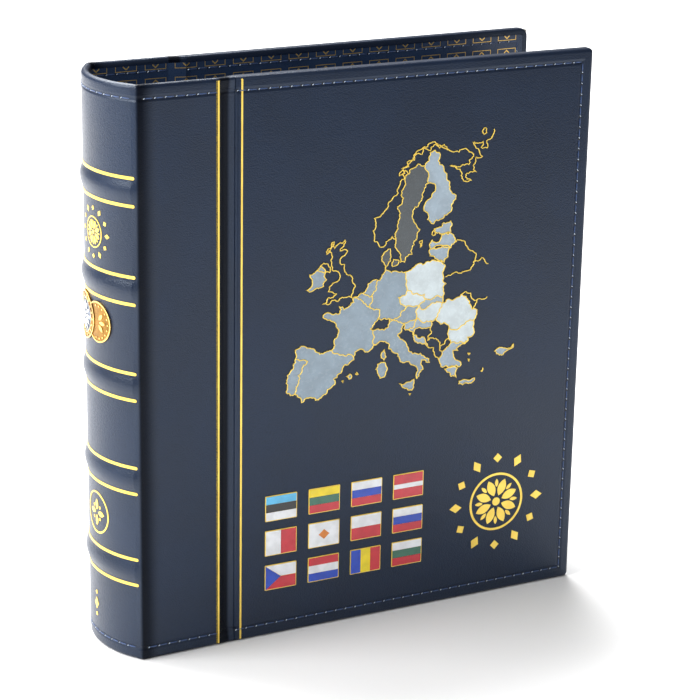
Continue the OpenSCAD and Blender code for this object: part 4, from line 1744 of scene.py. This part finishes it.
# Coasts and borders of the map, each drawn once, in millimetres from the spine corner and the foot.
LINES: dict[str, Line] = {
    "iberia_north": ((80, 146), (84, 147.5), (90, 145), (99.5, 143.5)),
    "pyrenees": ((99.5, 143.5), (103.5, 140.5), (111, 138.5)),
    "iberia_east": (
        (111, 138.5), (111.5, 137), (108.5, 135), (105.5, 134), (103.5, 131), (100.5, 128.5),
        (101.5, 126.5), (99.5, 124.5), (96.5, 121.5), (94, 120), (88.5, 121), (83.5, 119), (82, 122),
        (80, 124),
    ),
    "iberia_inner": (
        (80, 124), (80.5, 126.5), (82, 129.5), (81.5, 133), (83.5, 134.5), (84.5, 138), (86.5, 139.5),
        (83, 140.5), (80, 141.5),
    ),
    "iberia_west": ((80, 141.5), (77.5, 135.5), (75.5, 131.5), (76, 128.5), (75.5, 125), (80, 124)),
    "galicia": ((80, 141.5), (80, 146)),
    "biscay": (
        (99.5, 143.5), (100.5, 148), (102.5, 151), (101.5, 155), (99, 158), (95, 160), (94.5, 161.5),
        (99, 161.5), (103.5, 161.5), (103, 165), (105.5, 163), (108.5, 164.5), (111, 166), (110.5, 168.5),
    ),
    "gaul_north": ((110.5, 168.5), (116, 165), (120, 162), (125, 160.5), (124, 156)),
    "alps_west": ((124, 156), (120, 151.5), (121.5, 150.5)),
    "alps_south": ((121.5, 150.5), (122, 148), (121.5, 144.5), (123.5, 143)),
    "riviera": ((123.5, 143), (120.5, 141), (119, 140), (114.5, 142), (112, 141), (111, 138.5)),
    "low_coast": ((110.5, 168.5), (115.5, 170), (118.5, 174.5), (122, 176), (123.5, 175.5)),
    "low_inner": ((123.5, 175.5), (123, 171.5), (121.5, 170), (121, 166.5), (120, 162)),
    "north_coast": (
        (123.5, 175.5), (125.5, 176.5), (127, 179), (127.5, 180.5), (131, 178.5), (136.5, 178.5),
        (138.5, 178),
    ),
    "oder": ((138.5, 178), (139.5, 173.5), (140, 168.5)),
    "ore": ((140, 168.5), (135, 165.5), (136.5, 162), (139.5, 160)),
    "bavaria": ((139.5, 160), (137, 158.5), (136.5, 156), (130.5, 155.5)),
    "rhine": ((130.5, 155.5), (128, 156), (124, 156)),
    "alps_mid": ((121.5, 150.5), (124.5, 151), (127.5, 150), (130.5, 153.5)),
    "tyrol": ((130.5, 153.5), (130.5, 155.5)),
    "carnic": ((130.5, 153.5), (136.5, 153), (138.5, 152)),
    "karawanks": ((138.5, 152), (144.5, 153), (145.5, 154)),
    "danube_west": ((145.5, 154), (145.5, 156), (146.5, 160)),
    "moravia": ((139.5, 160), (143, 160), (146.5, 160)),
    "tatra_west": ((146.5, 160), (150, 163)),
    "sudetes": ((150, 163), (149.5, 165.5), (146.5, 165.5), (142, 168), (140, 168.5)),
    "tatra": ((150, 163), (155.5, 163.5), (160, 163)),
    "tatra_south": ((146.5, 160), (147.5, 158.5), (151.5, 159), (156.5, 161), (160, 160)),
    "uzh": ((160, 163), (160, 160)),
    "poland_north": (
        (138.5, 178), (141, 178.5), (144, 180.5), (146.5, 181.5), (148, 180.5), (156.5, 181.5), (158.5, 181),
    ),
    "bug": ((158.5, 181), (160, 177), (159.5, 174.5), (161.5, 169.5), (160, 165.5), (160, 163)),
    "drava": ((145.5, 154), (149, 151), (153.5, 151.5)),
    "tisza": ((153.5, 151.5), (156.5, 152.5), (160, 160)),
    "carpathia": ((160, 160), (165.5, 160.5), (170.5, 163)),
    "prut": ((170.5, 163), (173, 161.5), (175, 159), (176.5, 154.5)),
    "delta": ((176.5, 154.5), (179.5, 154), (179, 151), (178, 149)),
    "danube": ((178, 149), (173.5, 148.5), (170.5, 146.5), (164, 146.5)),
    "iron_gate": ((164, 146.5), (162.5, 148.5), (159, 149), (156.5, 152.5)),
    "black_sea": ((178, 149), (177.5, 145.5), (178.5, 142.5), (174.5, 140.5), (175, 138.5)),
    "rhodope": ((175, 138.5), (171, 138.5), (168, 138), (165, 138.5)),
    "vardar": ((165, 138.5), (164, 141), (163.5, 144.5), (164, 146.5)),
    "istria": ((138.5, 152), (138.5, 149.5), (141, 148.5)),
    "sava": ((141, 148.5), (144.5, 151), (145.5, 154)),
    "croatia_inner": ((153.5, 151.5), (153.5, 148), (148, 148.5), (144.5, 148), (146.5, 143.5), (152, 138.5)),
    "dalmatia": ((152, 138.5), (148, 141), (144, 144.5), (141, 148.5)),
    "adria": (
        (138.5, 152), (135.5, 147), (136.5, 144.5), (140.5, 140), (142, 137), (146, 135.5), (150, 134),
        (153, 132), (153.5, 130), (151.5, 130.5), (149, 132), (148.5, 130), (150, 127), (148, 125.5),
        (146.5, 122.5),
    ),
    "tyrrhenian": (
        (146.5, 122.5), (147, 126.5), (145, 129.5), (142, 132), (136.5, 134.5), (133, 138), (130.5, 140),
        (130, 143), (126.5, 144.5), (123.5, 143),
    ),
    "greece_north": ((165, 138.5), (162.5, 136), (160, 135), (158.5, 131)),
    "aegean": (
        (175, 138.5), (171, 137), (168.5, 135.5), (169.5, 134), (166.5, 134.5), (167, 132), (168, 129.5),
        (171.5, 126.5), (170.5, 125.5), (166.5, 126.5), (164.5, 126), (161, 126.5), (159, 130), (158.5, 131),
    ),
    "norway": (
        (137, 228.5), (134, 221), (131, 216), (128, 211), (121, 206.5), (120.5, 200.5), (121.5, 195),
        (124.5, 192), (129, 195), (131, 196.5), (133, 195),
    ),
    "norway_crown": (
        (134, 226), (136, 230), (140, 232.5), (141.5, 235.5), (145.5, 238), (149, 239), (151.5, 241),
        (156, 239), (158, 237.5), (160.5, 236.5),
    ),
    "kjolen": (
        (133, 195), (134, 200), (134, 204), (133.5, 211), (136, 213), (136.5, 220), (139, 226.5),
        (137, 228.5),
    ),
    "lapland": ((139, 226.5), (141, 229), (144, 231), (148, 230)),
    "torne": ((148, 230), (150, 225.5), (150, 221)),
    "bothnia_west": (
        (150, 221), (148.5, 220.5), (147, 216.5), (146.5, 213), (142, 208.5), (143, 202), (146, 198.5),
        (144.5, 195.5), (143, 193), (142, 186.5), (138.5, 185.5), (138, 183), (135.5, 183), (133.5, 190),
        (133, 195),
    ),
    "finland": (
        (148, 230), (150, 232), (150.5, 236), (153, 237), (155.5, 235.5), (155, 231.5), (158, 228.5),
        (160, 222), (162, 216.5), (165.5, 213.5), (163.5, 207.5), (161.5, 205), (153.5, 200.5),
        (150, 203), (148.5, 211), (154, 218), (153, 220.5), (150, 221),
    ),
    "fjords": (
        (134, 226.5), (137, 227), (135, 229.5), (139, 230), (138, 232.5), (142, 233), (142.5, 235.5),
        (146, 235.5), (147, 238.5), (150.5, 236.8), (152.5, 239.6), (155.5, 237.6), (158, 239.4),
        (160.5, 236.5),
    ),
    "scheldt": ((115.5, 170), (118, 168.8), (121, 168)),
    "kola": (
        (160.5, 236.5), (168, 236), (173.5, 234), (174.5, 232), (172, 228), (165.5, 227.5), (161.5, 228.5),
        (165.5, 226.5), (168.5, 221.5), (170.5, 220), (174, 220), (170.5, 223.5), (176.5, 224),
        (174.5, 227.5), (176, 231.5), (179.5, 231.5), (177, 235.5), (174, 239), (179.5, 239),
        (178.5, 236), (182, 235.5), (181.5, 239), (185.5, 244.5),
    ),
    "dvina": (
        (165.5, 190), (171.5, 189), (173.5, 185.5), (178, 182.5), (176.5, 179), (181, 180.5), (185, 177),
    ),
    "pripet": ((161, 173), (164.5, 174), (170.5, 174.5), (175, 175), (176.5, 179)),
    "dniester": ((170.5, 163), (175.5, 163), (179, 159), (181, 159.5), (185, 160)),
    "budjak": ((179, 159), (177, 154.5)),
    "serbia": ((153.5, 148), (154, 145), (152, 141.5), (155, 142.5), (158, 141), (159, 138), (164, 141)),
    "albania": ((152, 138.5), (155.5, 137.5), (156, 134), (158.5, 131)),
    "macedonia": ((159, 138), (159, 135.5), (160, 135)),
}


@dataclass(frozen=True)
class Land:
    """A filled land of the map, named lines run backwards when they start with a minus."""

    tone: Tone
    lines: tuple[str, ...]


LANDS: tuple[Land, ...] = (
    Land(Tone.MIST, ("iberia_north", "pyrenees", "iberia_east", "iberia_inner", "galicia")),
    Land(Tone.MIST, ("iberia_inner", "iberia_west")),
    Land(Tone.MIST, ("biscay", "gaul_north", "alps_west", "alps_south", "riviera", "-pyrenees")),
    Land(Tone.MIST, ("north_coast", "oder", "ore", "bavaria", "rhine", "-gaul_end", "-low_inner")),
    Land(Tone.MIST, ("low_coast", "low_inner", "-gaul_start")),
    Land(Tone.MIST, ("bavaria_back", "moravia", "-danube_west", "-karawanks", "-carnic", "tyrol")),
    Land(Tone.MIST, ("alps_mid", "carnic", "adria", "tyrrhenian", "-alps_south")),
    Land(Tone.WHITE, ("poland_north", "bug", "-tatra", "sudetes", "-oder")),
    Land(Tone.WHITE, ("-sudetes", "-tatra_west", "-moravia", "-ore")),
    Land(Tone.PALE, ("tatra_west", "tatra", "uzh", "-tatra_south")),
    Land(Tone.WHITE, ("tatra_south", "-tisza", "-drava", "danube_west")),
    Land(Tone.WHITE, ("carpathia", "prut", "delta", "danube", "iron_gate", "tisza_end")),
    Land(Tone.WHITE, ("-danube", "black_sea", "rhodope", "vardar")),
    Land(Tone.PALE, ("-rhodope", "aegean", "-greece_north")),
    Land(Tone.PALE, ("karawanks", "-sava", "-istria")),
    Land(Tone.PALE, ("drava", "croatia_inner", "dalmatia", "sava")),
    Land(Tone.SLATE, ("kjolen_part", "lapland", "torne", "bothnia_west")),
    Land(Tone.PALE, ("finland", "torne_back")),
)

ISLANDS: tuple[tuple[Tone | None, Line], ...] = (
    (None, (
        (94, 167), (97, 170), (101.5, 171.5), (97, 173), (99.5, 177), (103, 179), (102, 182.5),
        (99.5, 183), (98.5, 186.5), (99, 190), (96.5, 193), (99, 196.5), (100, 194), (102, 196),
        (105.5, 197.5), (103, 192.5), (107, 192), (105.5, 190), (103, 187), (105.5, 185.5), (108.5, 180),
        (110.5, 175.5), (111.5, 174), (109.5, 170), (110, 168), (99, 168.5),
    )),
    (Tone.MIST, (
        (85.5, 175), (88.5, 179), (87, 182.5), (90.5, 184), (93, 186), (95.5, 183), (96, 179), (94.5, 176),
        (89, 174.5),
    )),
    (Tone.MIST, ((124.5, 133), (128, 133.5), (129.5, 131), (128.5, 126), (126, 125.5), (125, 128))),
    (Tone.MIST, ((128, 140), (128.5, 138), (128, 134.5), (126.5, 136), (126.5, 138.5))),
    (Tone.MIST, ((136.5, 121.5), (141, 121.5), (145, 122.5), (144, 117), (141, 118.5))),
    (Tone.PALE, (
        (162, 125.5), (166.5, 126), (169.5, 125), (168.5, 123), (169, 120), (166, 121), (164, 123.5),
    )),
    (Tone.PALE, ((170.5, 116.5), (175, 116.5), (179.5, 117.5), (179.5, 118.5), (175, 118), (170.5, 118))),
    (Tone.PALE, ((190.5, 131), (195.5, 132), (201.5, 133.5), (198, 130.5), (193.5, 128.5))),
    (Tone.MIST, ((107.5, 129), (109.5, 130), (110.5, 128.5), (109, 127.5))),
    (Tone.SLATE, ((127.5, 180.5), (125.5, 185.5), (126.5, 188.5), (130, 190.5), (130.5, 186.5), (129, 183))),
    (Tone.SLATE, ((131.5, 181.5), (134, 182), (134.5, 184.5), (132, 185))),
    (Tone.PALE, ((154, 198), (159, 200.5), (163, 201), (163, 195), (158, 195), (155, 196))),
    (Tone.PALE, (
        (151.5, 190), (153, 192.5), (156, 191), (158, 195), (163, 195), (165.5, 190), (163.5, 187.5),
        (159, 189), (152, 188),
    )),
    (Tone.PALE, (
        (152, 188), (159, 189), (163.5, 187.5), (162, 183), (160, 180.5), (156, 182.5), (152, 184.5),
    )),
    (None, ((179, 244), (179.8, 245.4), (181.3, 245), (181.4, 243), (180, 242.4))),
    (None, ((91, 184.5), (93, 186.5), (96, 187), (98, 185), (97.6, 182.4), (95.5, 183))),
    (None, ((96, 191.5), (97.6, 192.6), (97.9, 194.4), (96.6, 194.2))),
    (None, ((98.3, 195.2), (99.6, 195.8), (99.8, 197.3), (98.5, 196.9))),
    (None, ((105, 127), (106, 127.2), (105.6, 126.2))),
    (None, ((112.5, 129.5), (114, 129.2), (113.2, 130.4))),
    (None, ((142.3, 115.4), (143.4, 115.2), (142.8, 114.6))),
    (None, ((175, 132), (176.5, 131.7), (175.7, 131))),
    (None, ((175.3, 129), (176.3, 128.6), (175.8, 127.6))),
    (None, ((183, 121.5), (184, 123.2), (184.2, 122.5), (183.6, 121.2))),
    (None, ((146, 192.5), (147.5, 193), (146.5, 189.5))),
    (None, ((153, 196.5), (154.5, 197.5), (154.6, 195.2), (153.4, 194.6))),
)


@dataclass
class EnamelMap:
    """The map in relief: enamelled lands inside thin gold coasts and borders."""

    finishes: Finishes
    wire: float = 0.32
    grain: float = 1.3

    def __post_init__(self) -> None:
        """Roughen every line once, so that neighbours share their border."""
        chance = random.Random(11)
        self.paths = {name: self.ragged(line, chance) for name, line in LINES.items()}
        self.loops = [
            (tone, self.ragged((*line, line[0]), chance)[:-1]) for tone, line in ISLANDS
        ]
        self.paths["bavaria_back"] = list(reversed(self.paths["bavaria"]))
        self.paths["torne_back"] = list(reversed(self.paths["torne"]))
        self.paths["gaul_end"] = self.between("gaul_north", (120, 162), (124, 156))
        self.paths["gaul_start"] = self.between("gaul_north", (110.5, 168.5), (120, 162))
        self.paths["tisza_end"] = self.between("tisza", (156.5, 152.5), (160, 160))
        self.paths["kjolen_part"] = self.between("kjolen", (133, 195), (139, 226.5))

    def between(self, name: str, first: Point, last: Point) -> list[Point]:
        """Return the part of a line between two of its drawn points.

        Args:
            name: The line's name.
            first: The point to start from.
            last: The point to end at.

        Returns:
            The points between them, both ends included.
        """
        path = self.paths[name]
        start = min(range(len(path)), key=lambda i: math.dist(path[i], first))
        end = min(range(len(path)), key=lambda i: math.dist(path[i], last))
        return path[start : end + 1]

    def ragged(self, line: Line, chance: random.Random) -> list[Point]:
        """Return a line broken into short crooked steps, with its drawn points kept.

        Args:
            line: The drawn line.
            chance: The source of the crookedness.

        Returns:
            The crooked line.
        """
        points: list[Point] = [line[0]]
        for a, b in zip(line, line[1:]):
            points += self.crooked(a, b, chance)
        return points

    def crooked(self, a: Point, b: Point, chance: random.Random) -> list[Point]:
        """Return the points after one end of a step, up to its other end.

        Args:
            a: One end of the step.
            b: The other end.
            chance: The source of the crookedness.

        Returns:
            The points after the first end.
        """
        length = math.dist(a, b)
        if length < self.grain:
            return [b]
        push = chance.uniform(-0.26, 0.26)
        middle = (
            (a[0] + b[0]) / 2 - (b[1] - a[1]) * push,
            (a[1] + b[1]) / 2 + (b[0] - a[0]) * push,
        )
        return self.crooked(a, middle, chance) + self.crooked(middle, b, chance)

    def build(self) -> None:
        """Build the lands of each tone and the gold lines."""
        lands: dict[Tone, list[bpy.types.Object]] = {tone: [] for tone in Tone}
        for land in LANDS:
            outline: list[Point] = []
            for name in land.lines:
                path = self.paths[name.lstrip("-")]
                path = list(reversed(path)) if name.startswith("-") else path
                outline += path[:-1]
            lands[land.tone].append(Bench.plate("land", outline, 0.3, -0.05))
        for tone, loop in self.loops:
            if tone is not None:
                lands[tone].append(Bench.plate("land", loop, 0.3, -0.05))
        for tone, parts in lands.items():
            name = f"map_enamel_{tone.name.lower()}"
            joined = Bench.join(name, parts)
            Bench.place(joined, CASE.on_cover())
            Bench.finish(joined, Enamel(name, tone.value, 0.2).mix(), "front_cover", "map_enamel", (), 20)
        self.coasts()

    def coasts(self) -> None:
        """Lay the gold wire of every coast and border."""
        curve = bpy.data.curves.new("map_coasts", "CURVE")
        curve.dimensions = "3D"
        curve.bevel_depth = self.wire
        curve.bevel_resolution = 1
        drawn = [(self.paths[name], False) for name in LINES]
        drawn += [(loop, True) for _, loop in self.loops]
        for path, closed in drawn:
            spline = curve.splines.new("POLY")
            spline.points.add(len(path) - 1)
            for point, (x, y) in zip(spline.points, path):
                point.co = (x, y, 0.2, 1)
            spline.use_cyclic_u = closed
        curve.use_fill_caps = True
        wire = bpy.data.objects.new("map_coasts", curve)
        bpy.context.collection.objects.link(wire)
        Bench.hold(wire)
        bpy.ops.object.convert(target="MESH")
        wire = bpy.context.object
        Bench.place(wire, CASE.on_cover())
        Bench.finish(wire, self.finishes.foil, "front_cover", "gold_foil", ["map_inlay"], 60)


@dataclass
class Hardware:
    """CAD pieces that keep their own shape and only get a finish."""

    finishes: Finishes
    nodes: dict[str, bpy.types.Object]

    def dress(self) -> None:
        """Give every remaining CAD node its finish."""
        steel = ("ring_housing", "housing_rivets", "housing_spacers", "lever_pins", "front_blade",
                 "front_half_rings", "back_blade", "back_half_rings", "top_lever", "bottom_lever")
        boards = ("spine_board", "front_strip_board", "back_strip_board", "front_board", "back_board")
        leaves = ("front_leaf", "middle_leaf", "back_leaf")
        linings = ("spine_lining", "front_strip_lining", "back_strip_lining", "front_lining", "back_lining")
        for names, material in (
            (steel, self.finishes.steel), (boards, self.finishes.board),
            (leaves, self.finishes.film), (linings, self.finishes.lining),
        ):
            for name in names:
                self.cover(name, material)

    def cover(self, name: str, material: bpy.types.Material) -> None:
        """Put a material on a CAD node.

        Args:
            name: The node's name.
            material: Its finish.
        """
        mesh = self.nodes[name].data
        if not mesh.materials:
            mesh.materials.append(material)
        for i in range(len(mesh.materials)):
            mesh.materials[i] = material


@dataclass
class Studio:
    """Floor, lights and camera."""

    camera_at: tuple[float, float, float] = (-0.5121, -0.9654, 0.4856)
    azimuth: float = -28.46
    elevation: float = 17.91
    roll: float = 1.07
    lens: float = 119.06

    def build(self) -> None:
        """Set up the studio."""
        self.floor()
        self.lights()
        self.camera()
        bpy.context.scene.view_settings.view_transform = "Standard"

    def floor(self) -> None:
        """Lay a pale floor under the album."""
        Bench.clear()
        bpy.ops.mesh.primitive_plane_add(size=14)
        floor = bpy.context.object
        floor.name = "floor"
        recipe = Recipe("floor_white")
        mottle = recipe.noise(300, 2)
        recipe.feed(
            recipe.blend(recipe.ramp(mottle, 0.3, 0.7, 0, 1), rgba(250, 250, 250), rgba(254, 254, 254)),
            "Base Color",
        )
        recipe.set(Roughness=0.9, Specular_IOR_Level=0.1)
        floor.data.materials.append(recipe.material)

    def lights(self) -> None:
        """Hang the soft lights and a white room."""
        world = bpy.data.worlds.new("room")
        bpy.context.scene.world = world
        world.use_nodes = True
        world.node_tree.nodes["Background"].inputs["Color"].default_value = (1, 1, 1, 1)
        world.node_tree.nodes["Background"].inputs["Strength"].default_value = 0.31
        self.lamp("key", (-1.6, 0.15, 1.2), (1.2, 1.2), 44)
        self.lamp("overhead", (-0.2, 1.6, 2.4), (2.6, 2.0), 190)
        self.lamp("front_fill", (-0.6, -2.4, 1.2), (0.8, 0.8), 5)

    @staticmethod
    def lamp(name: str, at: tuple[float, float, float], size: Point, power: float) -> None:
        """Hang one rectangular light that faces the album.

        Args:
            name: The light's name.
            at: Where it hangs, in metres.
            size: Its width and height, in metres.
            power: Its power in watts.
        """
        data = bpy.data.lights.new(name, "AREA")
        data.shape = "RECTANGLE"
        data.size, data.size_y = size
        data.energy = power
        light = bpy.data.objects.new(name, data)
        light.location = at
        aim = Vector((0, 0, 0.14)) - Vector(at)
        light.rotation_euler = aim.to_track_quat("-Z", "Y").to_euler()
        bpy.context.collection.objects.link(light)

    def camera(self) -> None:
        """Place the camera."""
        data = bpy.data.cameras.new("camera")
        data.lens = self.lens
        data.sensor_width = 36
        data.clip_end = 50
        camera = bpy.data.objects.new("camera", data)
        az, el, roll = (math.radians(v) for v in (self.azimuth, self.elevation, self.roll))
        back = Vector((math.sin(az) * math.cos(el), -math.cos(az) * math.cos(el), math.sin(el)))
        right = Vector((math.cos(az), math.sin(az), 0))
        up = back.cross(right)
        right, up = (
            math.cos(roll) * right + math.sin(roll) * up,
            -math.sin(roll) * right + math.cos(roll) * up,
        )
        turn = Matrix((right, up, back)).transposed().to_4x4()
        camera.matrix_world = Matrix.Translation(self.camera_at) @ turn
        bpy.context.collection.objects.link(camera)
        bpy.context.scene.camera = camera


def main() -> None:
    """Build the album's looks in order."""
    logging.basicConfig(level=logging.INFO, format="%(name)s %(message)s")
    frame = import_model()
    Studio().build()
    finishes = Finishes()
    Spine(finishes).build()
    Sewing(finishes).spine()
    Rosette(finishes, 12).on_spine()
    Coins(finishes).build()
    SpineMarks(finishes).build()
    for side in Side:
        HalfCase(finishes, side).build()
    EnamelMap(finishes).build()
    BannerPlates(finishes).build()
    Rosette(finishes).on_front()
    Hardware(finishes, frame["nodes"]).dress()


if __name__ == "__main__":
    main()
